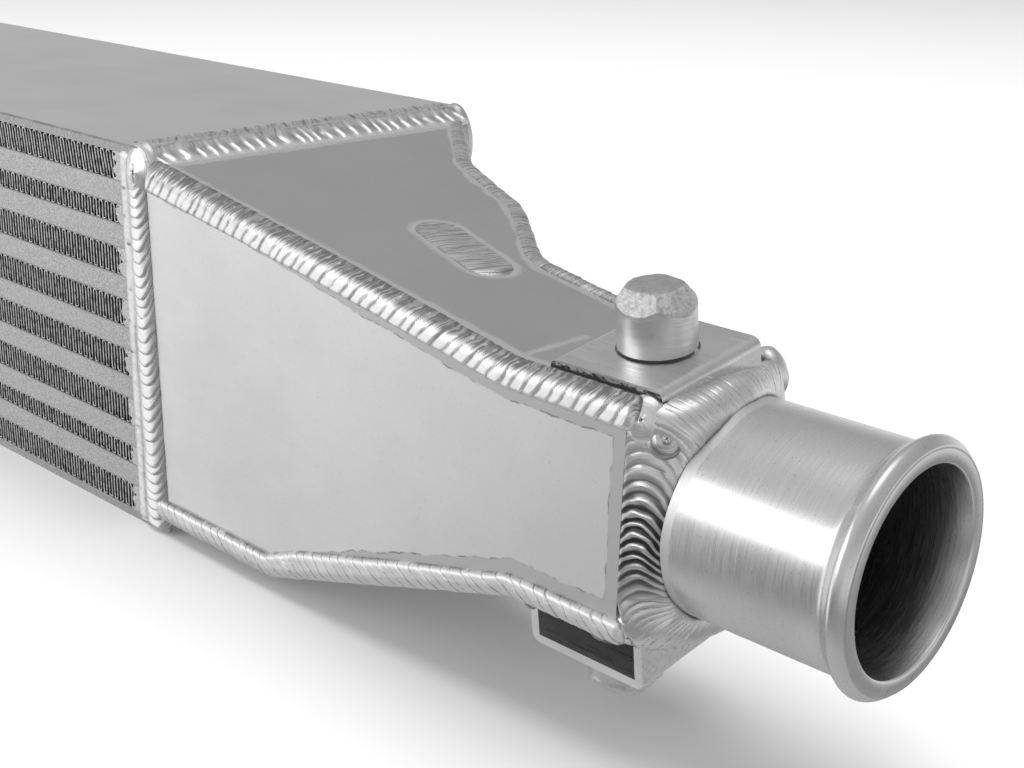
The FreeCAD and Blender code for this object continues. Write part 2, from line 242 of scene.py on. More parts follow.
class Finish(Nodes):
    """A material whose shader is fed by its nodes."""

    def __init__(self, name, metallic=1.0):
        self.material = bpy.data.materials.new(name)
        self.material.use_nodes = True
        super().__init__(self.material.node_tree, "Object")
        self.shader = self.tree.nodes["Principled BSDF"]
        self.shader.inputs["Metallic"].default_value = metallic

    def noise(self, scale, detail=2.0, stretch=(1.0, 1.0, 1.0), rough=0.5, place=None):
        """Noise over the object, stretched along some axes."""
        source = place or self.place
        where = self.node("ShaderNodeMapping", {}, {"Vector": source, "Scale": stretch})
        sockets = {"Vector": where, "Scale": scale, "Detail": detail, "Roughness": rough}
        return self.node("ShaderNodeTexNoise", {}, sockets)

    def mark(self, name):
        """A number stored on the mesh's points."""
        return self.node("ShaderNodeAttribute", {"attribute_name": name}, {}, "Fac")

    def surface(self, tone, rough, relief=None, depth=0.0001, strength=0.5):
        """Feeds the shader's base colour, roughness and bump."""
        self.feed(self.shader.inputs["Base Color"], tone)
        self.feed(self.shader.inputs["Roughness"], rough)
        if relief is not None:
            sockets = {"Height": relief, "Distance": depth, "Strength": strength}
            bump = self.node("ShaderNodeBump", {}, sockets)
            self.feed(self.shader.inputs["Normal"], bump)
        return self.material


def colour(value):
    """A grey with its alpha for a number, or a link as it is."""
    return value if isinstance(value, Value) else (value, value, value, 1.0)


def milled(finish, tone, grain, rough):
    """Fine rolling marks along the grain, with the shade and roughness of faintly stained metal."""
    marks = finish.noise(900.0, 3.0, grain, 0.6)
    stains = finish.noise(22.0, 4.0)
    shade = finish.blend(stains.ramp(0.3, 0.75) * 0.5, tone, tone * 0.86)
    return marks, shade, rough + (marks - 0.5) * 0.18 + (stains - 0.5) * 0.12


def rolled_sheet(name, tone, grain, rough=0.42, metallic=1.0, seam=None):
    """Mill-finished sheet with fine rolling marks along the grain and faint stains.

    seam gives the distance from the nearest weld, and on the top panel also from its bend; the metal beside
    a weld is stained by heat, and the light band along the bend is a painted highlight with faint painted
    dark edges.
    """
    finish = Finish(name, metallic)
    marks, shade, roughness = milled(finish, tone, grain, rough)
    speck = finish.noise(1400.0, 2.0)
    shade = finish.blend(speck.ramp(0.62, 0.75) * 0.25, shade, tone * 0.6)
    relief = marks * 0.7 + speck * 0.3
    if seam is not None:
        distance, width, soft, heat_and_bend_tone, dark = seam(finish)
        distance = distance + (finish.noise(170.0, 3.0) - 0.5) * (2.4 * MM)
        # The strip is heat tint beside the welds; along the top panel's bend it is a painted highlight, with
        # faint painted dark edges.
        heat = 1.0 - distance.ramp(width, width + soft)
        rim = distance.ramp(width - 0.2 * MM, width + 0.2 * MM)
        rim = rim * (1.0 - distance.ramp(width + 0.2 * MM, width + 0.6 * MM))
        shade = finish.blend(heat * 0.9, shade, heat_and_bend_tone)
        rim = rim * finish.noise(300.0).ramp(0.4, 0.65) * dark
        shade = finish.blend(rim, shade, heat_and_bend_tone * 0.4)
        roughness = roughness + heat * 0.06
        relief = relief + heat * 0.4
    return finish.surface(shade, roughness, relief, 0.00005, 0.35)


def core_plate(name, tone):
    """Rolled plate whose sawn edges are duller, with a painted dark line of shade where they meet the top.
    """
    finish = Finish(name)
    marks, shade, roughness = milled(finish, tone, (0.04, 1.0, 1.0), 0.4)
    sand = finish.noise(2200.0, 3.0, rough=0.7)
    depth = finish.part_of("Y").size()
    sawn = depth.ramp(BACK - 0.12 * MM, BACK - 0.05 * MM)
    # Painted shade: a dark line along the top of the front and back edges.
    rim = depth.ramp(BACK - 1.0 * MM, BACK - 0.5 * MM) * finish.part_of("Z").ramp(
        CORE_TOP - 0.7 * MM, CORE_TOP - 0.4 * MM)
    edge = finish.blend(sand.ramp(0.35, 0.65), tone * 0.42, tone * 0.8)
    shade = finish.blend(sawn, shade, edge)
    shade = finish.blend(rim * finish.noise(60.0).ramp(0.3, 0.6) * 0.8, shade, tone * 0.3)
    roughness = roughness + sawn * 0.15
    return finish.surface(shade, roughness, marks * 0.7 + sawn * sand, 0.00005, 0.35)


def front_seams(finish):
    """The strip beside the beads on the front panel: distance, width, edge, tone and dark rim.

    The top seam's toe draws in away from the core, and the strip widens there.
    """
    across, height = finish.part_of("X").size(), finish.part_of("Z")
    top = ((JOINT_X - across) * TOP_FALL + TOP_START).at_least(NARROW_TOP)
    toe = ((JOINT_X - across) * 0.026 + 9.2 * MM).at_least(7.1 * MM)
    floor = ((across - BOTTOM_BEND_START) * BOTTOM_RISE + BOTTOM_STEP).at_least(BOTTOM_STEP)
    above = height - floor.at_most(NARROW_FLOOR) - 7.4 * MM
    before = (TANK_END - 1.2 * MM) - across
    distance = (top - toe - height).at_most(above).at_most(before)
    fade = (across - JOINT_X).ramp(50.0 * MM, 120.0 * MM)
    return distance, fade * (2.2 * MM) + 0.4 * MM, 0.3 * MM, 0.58, fade * 0.9


def top_seams(finish):
    """The strip beside the seams, cap, patch and bend of the top panel, as in front; at the bend a painted
    highlight.

    Its edge is ragged along the back seam between the cap and the narrow end.
    """
    across, deep = finish.part_of("X").size(), finish.part_of("Y")
    toe = ((across - JOINT_X) * 0.012 + 4.6 * MM).at_most(5.8 * MM)
    from_front = deep - FRONT - toe
    from_cap = across - (JOINT_X + 10.6 * MM)
    along = (across - PATCH_X) * math.cos(PATCH_TURN) + (deep - PATCH_Y) * math.sin(PATCH_TURN)
    aside = (deep - PATCH_Y) * math.cos(PATCH_TURN) - (across - PATCH_X) * math.sin(PATCH_TURN)
    past = (along.size() - (PATCH_HALF - PATCH_WIDTH)).at_least(0.0)
    from_patch = (past * past + aside * aside).root() - PATCH_WIDTH
    stops = [((x - JOINT_X) / TANK_LENGTH, (y - FRONT) / TANK_LENGTH) for x, y in back_line()[::2]]
    share = (across - JOINT_X) / TANK_LENGTH
    wall = finish.node("ShaderNodeValToRGB", {"stops": stops[:31]}, {0: share}) * TANK_LENGTH + FRONT
    flash = (across - JOINT_X).ramp(18.0 * MM, 30.0 * MM)
    flash = flash * (1.0 - (across - JOINT_X).ramp(100.0 * MM, 112.0 * MM))
    ragged = (finish.noise(90.0, 3.0) - 0.55) * (7.0 * MM) * flash
    from_back = wall - deep - 5.6 * MM - ragged
    # Painted highlight: a light band along the bend, where the panel's crease catches the light.
    from_bend_highlight = (across - TOP_BEND + 1.0 * MM).size() + (deep - FRONT - 30.0 * MM).at_least(0.0)
    nearest = from_front.at_most(from_cap).at_most(from_patch).at_most(from_back)
    nearest = nearest.at_most(from_bend_highlight + 0.6 * MM)
    return nearest, 0.8 * MM, 1.6 * MM, 0.78, 0.1


def sanded_bar(name, tone):
    """Matte extruded bar with a sandy surface."""
    finish = Finish(name, 0.9)
    sand = finish.noise(2600.0, 3.0, rough=0.7)
    patches = finish.noise(60.0, 3.0, (0.3, 1.0, 1.0))
    shade = finish.blend(sand.ramp(0.35, 0.65), tone * 0.55, tone * 1.1)
    shade = finish.blend(patches.ramp(0.35, 0.8) * 0.35, shade, tone * 0.85)
    return finish.surface(shade, 0.52 + (sand - 0.5) * 0.3, sand, 0.0001, 0.6)


def fin_sheet(name, tone):
    """Thin fin sheet, bright at its front edge, nearly black further in as painted shade, and darker in
    streaks.
    """
    finish = Finish(name, 0.9)
    depth = finish.part_of("Y").size()
    edge = depth.ramp(BACK - 0.55 * MM, BACK - 0.36 * MM)
    streaks = finish.noise(500.0, 2.0, (1.0, 0.05, 1.0))
    # Painted shade: behind its edge the sheet is nearly black, as the deep gaps between the folds lie in
    # shade.
    shade = finish.blend(edge, tone * 0.03, tone)
    shade = finish.blend(streaks.ramp(0.45, 0.7) * 0.6, shade, tone * 0.03)
    return finish.surface(shade, 0.45 + streaks * 0.2, streaks, 0.00005, 0.3)


def weld_metal(name, tone, rough):
    """Shiny weld metal with fine lines along its ripples, dark grooves between them, smoke stains and
    painted shade.
    """
    finish = Finish(name)
    hollow = finish.mark("hollow")
    toe = finish.mark("toe")
    place = finish.node("ShaderNodeCombineXYZ", {}, {
        0: finish.mark("ripples") * 5.0, 1: finish.mark("across") * 0.9, 2: finish.part_of("X") * 60.0,
    })
    lines = finish.noise(1.0, 3.0, rough=0.6, place=place)
    fine = finish.noise(1100.0, 4.0, rough=0.65)
    soot = finish.noise(160.0, 3.0)
    film = finish.mark("film") * (lines.ramp(0.4, 0.64) * 0.55 + 0.35)
    # Darkened by oxide and painted shade in the hollows between the ripples, by the film mark, and along the
    # toes by smoke stains and painted shade.
    dirt_and_shade = hollow.ramp(0.45, 0.95) * 0.7 + film
    dirt_and_shade = (dirt_and_shade + toe.ramp(0.6, 1.0) * soot.ramp(0.35, 0.6) * 0.8).at_most(1.0)
    shade = finish.blend(dirt_and_shade, tone, tone * 0.3)
    # Nearly black where the soot mark is set: a painted dark reflection on the collar's front, a painted
    # shadow round the crater, and the dark spot, most in the hollows.
    black = finish.mark("soot") * (hollow.ramp(0.1, 0.5) * 0.75 + 0.25)
    shade = finish.blend(black, shade, 0.05)
    roughness = rough + dirt_and_shade * 0.2 + (fine - 0.5) * 0.15
    return finish.surface(shade, roughness, lines * 0.8 + fine * 0.35, 0.00016, 0.5)


# About one over the pipe's radius, which brings places on it to between -1 and 1
PER_RADIUS = 35.0


def spun_pipe(name, tone):
    """Pipe with fine marks round its axis and a pale ring beside the collar's toe."""
    finish = Finish(name)
    rings = finish.noise(1600.0, 3.0, (1.0, 0.06, 0.06), 0.6)
    smears = finish.noise(45.0, 3.0)
    speck = finish.noise(900.0, 2.0)
    shade = finish.blend(smears.ramp(0.35, 0.75) * 0.5, tone, tone * 0.82)
    shade = finish.blend(speck.ramp(0.66, 0.74) * 0.4, shade, tone * 0.5)
    deep = (finish.part_of("Y") - PIPE_Y) * PER_RADIUS
    up = (finish.part_of("Z") - PIPE_Z) * PER_RADIUS
    toe = (up * up * 4.4 + up * 1.6 - deep * 1.7 + 5.7) * MM
    past = finish.part_of("X").size() - PLATE_END - toe + (finish.noise(150.0) - 0.5) * (2.0 * MM)
    heat = 1.0 - past.ramp(2.4 * MM, 2.8 * MM)
    shade = finish.blend(heat * 0.85, shade, 0.8)
    roughness = 0.27 + (rings - 0.5) * 0.25 + (smears - 0.5) * 0.1 + heat * 0.2
    return finish.surface(shade, roughness, rings, 0.00005, 0.4)


def turned_peg(name, tone):
    """Turned peg with tool marks, gritty where it is ground and dull on its flat end."""
    finish = Finish(name)
    rings = finish.noise(1000.0, 2.0, (0.04, 0.04, 1.0), 0.6)
    scuffs = finish.noise(260.0, 4.0)
    shade = finish.blend(scuffs.ramp(0.45, 0.8) * 0.5, tone, tone * 0.7)
    ground = finish.mark("ground")
    grit = finish.noise(800.0, 5.0, rough=0.7)
    shade = finish.blend(ground.at_most(1.0) * grit.ramp(0.4, 0.65) * 0.6, shade, tone * 0.5)
    shade = finish.blend(ground.ramp(1.4, 1.6) * 0.6, shade, tone * 0.55)
    relief = rings + ground.at_most(1.0) * grit * 4.0
    roughness = 0.24 + rings * 0.16 + scuffs * 0.06 + ground * 0.12
    return finish.surface(shade, roughness, relief, 0.00012, 0.7)


def cut_sheet(name, tone, scorched_and_shadowed):
    """Folded bracket sheet: brushed faces, and edges as roughly scorched as the share given.

    The scorched edge is the top bracket's lower one: mottled above, and painted black below as the shadow
    under the plate; the share gives both.
    """
    finish = Finish(name)
    normal = finish.node("ShaderNodeNewGeometry", {}, {}, "Normal")
    facing = finish.node("ShaderNodeSeparateXYZ", {}, {0: normal}, "Y").size().ramp(0.8, 0.95)
    mottle = finish.noise(1100.0, 5.0, (0.45, 1.0, 1.0), 0.7)
    brushed = finish.noise(800.0, 3.0, (0.06, 1.0, 1.0))
    stains = finish.noise(60.0, 3.0)
    low = finish.part_of("Z")
    # Painted shadow: faces along Y from 60.5 to 99.5 mm high are painted black, as the shade under the
    # plate.
    below = (1.0 - low.ramp(99.3 * MM, 99.7 * MM)) * low.ramp(60.0 * MM, 61.0 * MM)
    lip = 1.0 - low.ramp(100.3 * MM, 100.6 * MM)
    scorch_and_shadow = facing * (mottle.ramp(0.45, 0.56) * lip).at_least(below) * scorched_and_shadowed
    shade = finish.blend(stains.ramp(0.35, 0.7) * 0.5, tone, tone * 0.8)
    shade = finish.blend(scorch_and_shadow, shade, 0.1)
    relief = brushed * 0.45 + facing * mottle * (0.2 + 0.8 * scorched_and_shadowed)
    rough = 0.33 + facing * 0.12 + scorch_and_shadow * 0.2 + (brushed - 0.5) * 0.5
    return finish.surface(shade, rough, relief, 0.0002, 0.5)


# Mesh work

CREASE = math.radians(30.0)
SOFT_EDGE = math.radians(35.0)


def put(name, data):
    """A new object of the scene that holds this data."""
    made = bpy.data.objects.new(name, data)
    bpy.context.scene.collection.objects.link(made)
    return made


def add_piece(name, points, faces, finish, stands_for, smooth=True, marks=None):
    """Makes a piece that stands for CAD nodes and lets it ride on the body.

    marks are numbers stored on the points; smooth is False where creases stay sharp.
    """
    mesh = bpy.data.meshes.new(name)
    mesh.from_pydata(points.tolist(), [], [list(map(int, face)) for face in faces])
    mesh.update()
    mesh.shade_smooth()
    if not smooth:
        mesh.set_sharp_from_angle(angle=CREASE)
    for mark, values in (marks or {}).items():
        layer = mesh.attributes.new(mark, "FLOAT", "POINT")
        layer.data.foreach_set("value", np.asarray(values, np.float32))
    mesh.materials.append(finish)
    piece = put(name, mesh)
    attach(piece, "root")
    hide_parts(*stands_for)


def add_ends(name, points, faces, finish, stands_for, smooth=True, marks=None):
    """A piece of the right-hand mesh and its mirror image, which is turned to face outwards."""
    both = np.concatenate((points, points * np.array((-1.0, 1.0, 1.0))))
    faces = [list(map(int, face)) for face in faces]
    faces += [[index + len(points) for index in reversed(face)] for face in faces]
    doubled = {mark: np.tile(values, 2) for mark, values in (marks or {}).items()}
    add_piece(name, both, faces, finish, stands_for, smooth, doubled)


def sheet_faces(rows, columns, ring=False, closed=False):
    """Quads of a grid of points; a ring joins its last column to its first, closed its rows too."""
    index = np.arange(rows * columns).reshape(rows, columns)
    if closed:
        index = np.concatenate((index, index[:1]), axis=0)
    if ring or closed:
        index = np.concatenate((index, index[:, :1]), axis=1)
    corners = (index[:-1, :-1], index[:-1, 1:], index[1:, 1:], index[1:, :-1])
    return np.stack(corners, axis=-1).reshape(-1, 4)


def full_turn(count):
    """Even angles all the way round."""
    return np.linspace(0.0, 2.0 * math.pi, count, endpoint=False)


def round_pipe(x, radius, turn):
    """Points at an X and a radius from the pipe's axis, the angles from the back over the top."""
    parts = (x, PIPE_Y + radius * np.cos(turn), PIPE_Z + radius * np.sin(turn))
    return np.stack(np.broadcast_arrays(*parts), axis=-1)


def squarish(turn, half_y, half_z, power):
    """Radius of a rounded rectangle at these angles; a larger power makes its corners sharper."""
    near = np.abs(np.cos(turn) / half_y) ** power + np.abs(np.sin(turn) / half_z) ** power
    return near ** (-1.0 / power)


def unit(vectors):
    """Vectors brought to length one."""
    return vectors / np.linalg.norm(vectors, axis=-1, keepdims=True)


def summed(steps):
    """Running sums that start from zero."""
    return np.concatenate(([0.0], np.cumsum(steps)))


def resampled(path, step):
    """A path's columns at even steps of its first three, which are its points."""
    along = summed(np.linalg.norm(np.diff(path[:, :3], axis=0), axis=1))
    even = np.linspace(0.0, along[-1], max(2, int(along[-1] / step) + 1))
    return np.stack([np.interp(even, along, column) for column in path.T], axis=1)


def eased(knots, place, axis=0):
    """Values at places between knots along an axis, without corners."""
    low = np.floor(place).astype(int)
    share = place - low
    share = share * share * (3.0 - 2.0 * share)
    if axis < knots.ndim - 1:
        share = share[:, None]
    return np.take(knots, low, axis) * (1.0 - share) + np.take(knots, low + 1, axis) * share


def rough_grid(random, rows, columns, cell):
    """A smooth random grid between -1 and 1 whose lumps are about a cell wide."""
    knots = random.uniform(-1.0, 1.0, (int(rows / cell) + 3, int(columns / cell) + 3))
    for axis, count in enumerate((rows, columns)):
        knots = eased(knots, np.arange(count) / cell, axis)
    return knots


def smooth_noise(random, count, spacing):
    """A smooth random line between -1 and 1."""
    knots = random.uniform(-1.0, 1.0, int(count / spacing) + 4)
    return eased(knots, np.arange(count) / spacing + 1.0)


# Places across a bead, and how far a lump's surface runs down from its crown
ACROSS = np.linspace(-1.0, 1.0, 29)
LUMP_FALL = math.radians(125.0)


class Bead:
    """Weld metal laid over a strip of surface in overlapping ripples.

    The strip holds grids of points, outward vectors and places across it from -1 to 1, with
    one row per station. rise is the metal over the strip and depth the ripples' relief; bow
    tells how many ripples each place across leads by. The ripples are flat scales for sharp 0
    and thin crests for sharp 1; tilt makes the scales rise along the path, or fall for a
    negative one. rise, pitch, depth, sharp, soot and fade may vary by row, depth may be one
    row of places across, and film, which is the oxide on the metal and painted shade, and line,
    a dark line before each crest, may vary by place across. soot darkens with smoke stains and
    painted shade. A larger full makes the first edge blunter, a larger fade keeps the ripples
    further from the edges, and a larger thick makes the crests wider.
    """

    def __init__(self, strip, rise, pitch, depth, bow, seed, ends=2.0 * MM, sharp=0.0, soot=0.0,
                 full=2.2, tilt=0.0, film=0.3, fade=0.4, line=0.0, thick=0.5):
        base, normals, across = strip
        random = np.random.default_rng(seed)
        rows, columns = base.shape[:2]
        middle = base[:, columns // 2]
        runs = np.linalg.norm(np.diff(middle, axis=0), axis=1)
        along = summed(runs)
        beats = summed(runs / np.broadcast_to(pitch, rows)[1:])
        # Uneven starts of the ripples, with enough to spare at both ends for the bow
        starts = np.cumsum(random.uniform(0.75, 1.25, int(beats[-1]) + 40)) - 12.0
        waver = 1.0 + 0.2 * smooth_noise(random, rows, 30.0)[:, None]
        wobble = 0.12 * rough_grid(random, rows, columns, 7.0)
        number = np.interp(beats[:, None] - bow * waver + wobble, starts, np.arange(len(starts)))
        part = number % 1.0
        aside = np.abs(2.0 * part - 1.0)
        climb = 1.0 - abs(tilt) * ((1.0 - part) if tilt > 0.0 else part)
        sharp = np.broadcast_to(sharp, rows)[:, None]
        crest = np.exp(-(aside / thick) ** 2)
        roll = (1.0 - aside ** 8.0) * climb * (1.0 - sharp) + crest * sharp
        swell = random.normal(0.0, 0.06 * MM, len(starts))[number.astype(int)]
        lumps = rough_grid(random, rows, columns, 14.0) * 0.14 * MM
        across = np.broadcast_to(across, (rows, columns))
        arch = 1.0 - np.abs(across) ** np.where(across < 0.0, full, 2.2)
        close = np.minimum(along, along[-1] - along) / ends
        shut = np.sqrt(1.0 - (1.0 - np.clip(close, 0.02, 1.0)) ** 2)[:, None]
        rise = np.broadcast_to(rise, rows)[:, None]
        depth = depth if np.ndim(depth) == 2 else np.broadcast_to(depth, rows)[:, None]
        lift = rise * arch + (swell + lumps + depth * (roll - 0.7)) * arch ** np.reshape(fade, (-1, 1))
        lift = lift * shut - 0.4 * MM * (np.abs(across) ** 14.0 + 1.0 - shut)
        spread = base - middle[:, None]
        points = middle[:, None] + spread * (0.4 + 0.6 * shut[..., None]) + lift[..., None] * normals
        self.points = points.reshape(-1, 3)
        weight = depth / np.max(depth) if np.size(depth) == columns else 1.0
        # Painted shade with oxide: hollow darkens the valleys between the ripples, and on sharp beads all
        # but the crests.
        hollow = aside ** 5.0 * (1.0 - sharp) + 0.8 * (1.0 - crest) * sharp * weight
        self.shape = (rows, columns)
        self.marks = {
            "hollow": hollow,
            "toe": np.abs(across) ** 3.0,
            "ripples": number,
            "across": across,
            "soot": np.broadcast_to(soot, rows)[:, None],
            "film": film + line * np.exp(-((part - 0.26) / 0.09) ** 2),
        }
        self.faces = tube_faces(rows, columns)
        sample = self.faces[len(self.faces) // 3]
        corner, first, last = self.points[sample[:3]]
        outward = normals.reshape(-1, 3)[sample[0]]
        if np.cross(first - corner, last - first) @ outward < 0.0:
            self.faces = self.faces[:, ::-1]


class Blob:
    """A rounded lump of weld metal: part of an ellipsoid with uneven relief and rings.

    Its radii are millimetres; outward is the way in which its crown points.
    """

    def __init__(self, centre, radii, outward, seed, uneven, rings=0.0, film=0.2, soot=0.0):
        random = np.random.default_rng(seed)
        rows, columns, overlap = 30, 60, 12
        outward = unit(np.array(outward, float))
        side = unit(np.cross((0.0, 0.0, 1.0), outward))
        upward = np.cross(outward, side)
        fall = np.linspace(0.02, 1.0, rows)[:, None] * LUMP_FALL
        turn = full_turn(columns)[None, :]
        relief = rough_grid(random, rows, columns + overlap, 6.0)
        blend = np.linspace(0.0, 1.0, overlap)
        relief[:, :overlap] = relief[:, :overlap] * blend + relief[:, -overlap:] * (1.0 - blend)
        relief = relief[:, :columns] * uneven
        wave = np.cos(fall * 11.0)
        relief = relief + rings * wave * np.exp(-(fall / 1.1) ** 4)
        parts = (np.cos(fall), np.sin(fall) * np.cos(turn), np.sin(fall) * np.sin(turn))
        spokes = np.stack(np.broadcast_arrays(*parts), axis=-1)
        local = spokes * (np.array(radii) * MM) + spokes * relief[..., None]
        self.points = (centre + local @ np.stack((outward, side, upward))).reshape(-1, 3)
        # Painted shade: hollow darkens the low places of the relief and the valleys between the rings.
        hollow = 0.25 - 0.35 * wave * (rings > 0.0) - relief / (2.0 * uneven + 1e-9) * 0.5
        self.shape = (rows, columns)
        # The soot mark darkens a ring round the lump's foot: a painted shadow round its rim.
        self.marks = {
            "hollow": np.clip(hollow, 0.0, 0.8),
            "toe": np.clip(fall / 2.1, 0.0, 1.0) ** 5,
            "ripples": fall * 3.0,
            "across": np.sin(turn),
            "soot": soot * np.exp(-((fall - 1.1) / 0.2) ** 2),
            "film": film,
        }
        self.faces = tube_faces(rows, columns)


def tube_faces(rows, columns):
    """Quads of a tube of closed sections, with quads across the first and last to shut it."""
    low = np.arange(columns // 2)
    high = columns - 1 - low
    end = np.stack((low[:-1], low[1:], high[1:], high[:-1]), axis=1)
    sides = sheet_faces(rows, columns, ring=True)
    return np.concatenate((sides[:, ::-1], end[:, ::-1], end + (rows - 1) * columns))


def flat_strip(path, side, up, half):
    """A flat strip of surface along a path, of this half width."""
    half = np.broadcast_to(half, len(path))
    side, up = np.broadcast_to(side, path.shape), np.broadcast_to(up, path.shape)
    base = path[:, None] + (side * half[:, None])[:, None] * ACROSS[None, :, None]
    return base, np.broadcast_to(up[:, None], base.shape), np.broadcast_to(ACROSS, base.shape[:2])


def upright_strip(x, y, heights, facing, half):
    """A strip that runs up the core joint, at one X or at one for each height."""
    path = np.stack(np.broadcast_arrays(x, y, heights), axis=1)
    return flat_strip(path, (1.0, 0.0, 0.0), (0.0, facing, 0.0), half)


def corner_strip(corner, out, up, down, inward, soft=3.4 * MM):
    """A strip round a convex corner, down along one face and inward along the other.

    The metal is thickest a quarter of the way down.
    """
    share = (ACROSS + 1.0) / 2.0
    run = -down[:, None] * (1.0 - share) + inward[:, None] * share
    peak = -0.25 * down[:, None]
    width = np.where(run > peak, inward[:, None] - peak, down[:, None] + peak)
    across = (run - peak) / width
    lean = np.clip((run + soft) / (2.0 * soft), 0.0, 1.0) * math.pi / 2.0
    normals = np.cos(lean)[..., None] * out[:, None] + np.sin(lean)[..., None] * up[:, None]
    inset = 0.293 * soft * np.clip(1.0 - np.abs(run) / soft, 0.0, 1.0) ** 1.5
    base = corner[:, None] + up[:, None] * np.minimum(run, 0.0)[..., None]
    base = base - out[:, None] * np.maximum(run, 0.0)[..., None]
    base = base - (out + up)[:, None] * inset[..., None]
    return base, normals, across


def add_beads(name, beads, finish, node):
    """Adds beads at both ends as one piece that stands for a CAD node."""
    starts = np.cumsum([0] + [len(bead.points) for bead in beads])
    points = np.concatenate([bead.points for bead in beads])
    faces = np.concatenate([bead.faces + start for bead, start in zip(beads, starts)])
    marks = {
        mark: np.concatenate([np.broadcast_to(bead.marks[mark], bead.shape).ravel() for bead in beads])
        for mark in beads[0].marks
    }
    add_ends(name, points, faces, finish, [node], marks=marks)


# Outlines of the tank, as in the CAD source

TANK_LENGTH = 198.0 * MM
TANK_END = JOINT_X + TANK_LENGTH
NARROW_DEPTH = plate_high.y - plate_low.y
NARROW_TOP = plate_high.z
NARROW_FLOOR = plate_low.z
TOP_BEND = TANK_END - 38.0 * MM
BOTTOM_STEP = 5.0 * MM
BOTTOM_BEND_START = JOINT_X + 62.0 * MM
BOTTOM_BEND_END = TANK_END - 35.0 * MM
TOP_STEP = 3.0 * MM
TOP_START = CORE_TOP - TOP_STEP
TOP_FALL = (TOP_START - NARROW_TOP) / (TOP_BEND - JOINT_X)
BOTTOM_RISE = (NARROW_FLOOR - BOTTOM_STEP) / (BOTTOM_BEND_END - BOTTOM_BEND_START)

# Filled slot on the top panel
PATCH_X = JOINT_X + 99.5 * MM
PATCH_Y = FRONT + 43.5 * MM
PATCH_TURN = math.radians(-13.0)
PATCH_HALF = 21.0 * MM
PATCH_WIDTH = 8.2 * MM


def rounded(corners, radii, step=1.5 * MM):
    """Points along an open flat path with rounded corners."""
    points = [np.array(corners[0], float)]
    for before, corner, after, radius in zip(corners, corners[1:], corners[2:], radii):
        before, corner, after = (np.array(value, float) for value in (before, corner, after))
        to_before, to_after = unit(before - corner), unit(after - corner)
        half = math.acos(float(np.clip(to_before @ to_after, -1.0, 1.0))) / 2.0
        setback = radius / math.tan(half)
        middle_way = unit(to_before + to_after)
        centre = corner + middle_way * radius / math.sin(half)
        first = corner + to_before * setback - centre
        last = corner + to_after * setback - centre
        turns = max(3, int(radius * (math.pi - 2.0 * half) / step) + 1)
        for share in np.linspace(0.0, 1.0, turns):
            spoke = unit(first * (1.0 - share) + last * share)
            points.append(centre + spoke * radius)
    points.append(np.array(corners[-1], float))
    return np.array(points)


def top_line():
    """The tank's top in side view, as X and Z."""
    corners = [(JOINT_X, TOP_START), (TOP_BEND, NARROW_TOP), (PLATE_END, NARROW_TOP)]
    return rounded(corners, [14.0 * MM])


def bottom_line():
    """The tank's bottom in side view, as X and Z."""
    corners = [
        (JOINT_X, BOTTOM_STEP),
        (BOTTOM_BEND_START, BOTTOM_STEP),
        (BOTTOM_BEND_END, NARROW_FLOOR),
        (PLATE_END, NARROW_FLOOR),
    ]
    return rounded(corners, [12.0 * MM, 12.0 * MM])


def back_line():
    """The tank's back wall in plan, as X and Y."""
    narrow_back = FRONT + NARROW_DEPTH
    corners = [
        (JOINT_X, BACK),
        (JOINT_X + 44.0 * MM, FRONT + 100.0 * MM),
        (JOINT_X + 82.0 * MM, FRONT + 86.0 * MM),
        (JOINT_X + 116.0 * MM, narrow_back),
        (PLATE_END, narrow_back),
    ]
    return rounded(corners, [30.0 * MM, 26.0 * MM, 22.0 * MM])


def line_normals(line, turn):
    """Normals of a flat line, to its left for turn 1 and to its right for turn -1."""
    ways = unit(np.gradient(line, axis=0))
    return np.stack((-ways[:, 1], ways[:, 0]), axis=1) * turn


def read_off(xs, line, values):
    """Pairs of values read off along a line's X."""
    return np.stack([np.interp(xs, line[:, 0], column) for column in values.T], axis=1)


def seam_strip(side_line, upward, plan_line, runs, step):
    """The strip of a bead along a panel edge.

    upward is 1 for the top and -1 for the bottom; plan_line is None for the flat front. The
    runs are rows of X, reach down the wall and reach inward.
    """
    if plan_line is None:
        xs = side_line[:, 0]
        ys = np.full(len(xs), FRONT)
        out = np.tile((0.0, -1.0), (len(xs), 1))
    else:
        xs = np.unique(np.concatenate((plan_line[:, 0], side_line[:, 0])))
        ys = np.interp(xs, plan_line[:, 0], plan_line[:, 1])
        out = read_off(xs, plan_line, line_normals(plan_line, 1))
    zs = np.interp(xs, side_line[:, 0], side_line[:, 1])
    up = read_off(xs, side_line, line_normals(side_line, upward))
    path = np.stack((xs, ys, zs, out[:, 0], out[:, 1], up[:, 0], up[:, 1]), axis=1)
    path = resampled(path, step)
    path = path[(path[:, 0] >= JOINT_X + runs[0][0] * MM) & (path[:, 0] <= JOINT_X + runs[-1][0] * MM)]
    places, down, inward = np.array(runs).T * MM
    down = np.interp(path[:, 0], places + JOINT_X, down)
    inward = np.interp(path[:, 0], places + JOINT_X, inward)
    flat = np.zeros(len(path))
    out = unit(np.stack((path[:, 3], path[:, 4], flat), axis=1))
    up = unit(np.stack((path[:, 5], flat, path[:, 6]), axis=1))
    return corner_strip(path[:, :3], out, up, down, inward)


# Operators

class Work:
    """What the operators share: each can be undone."""

    bl_options = {"REGISTER", "UNDO"}


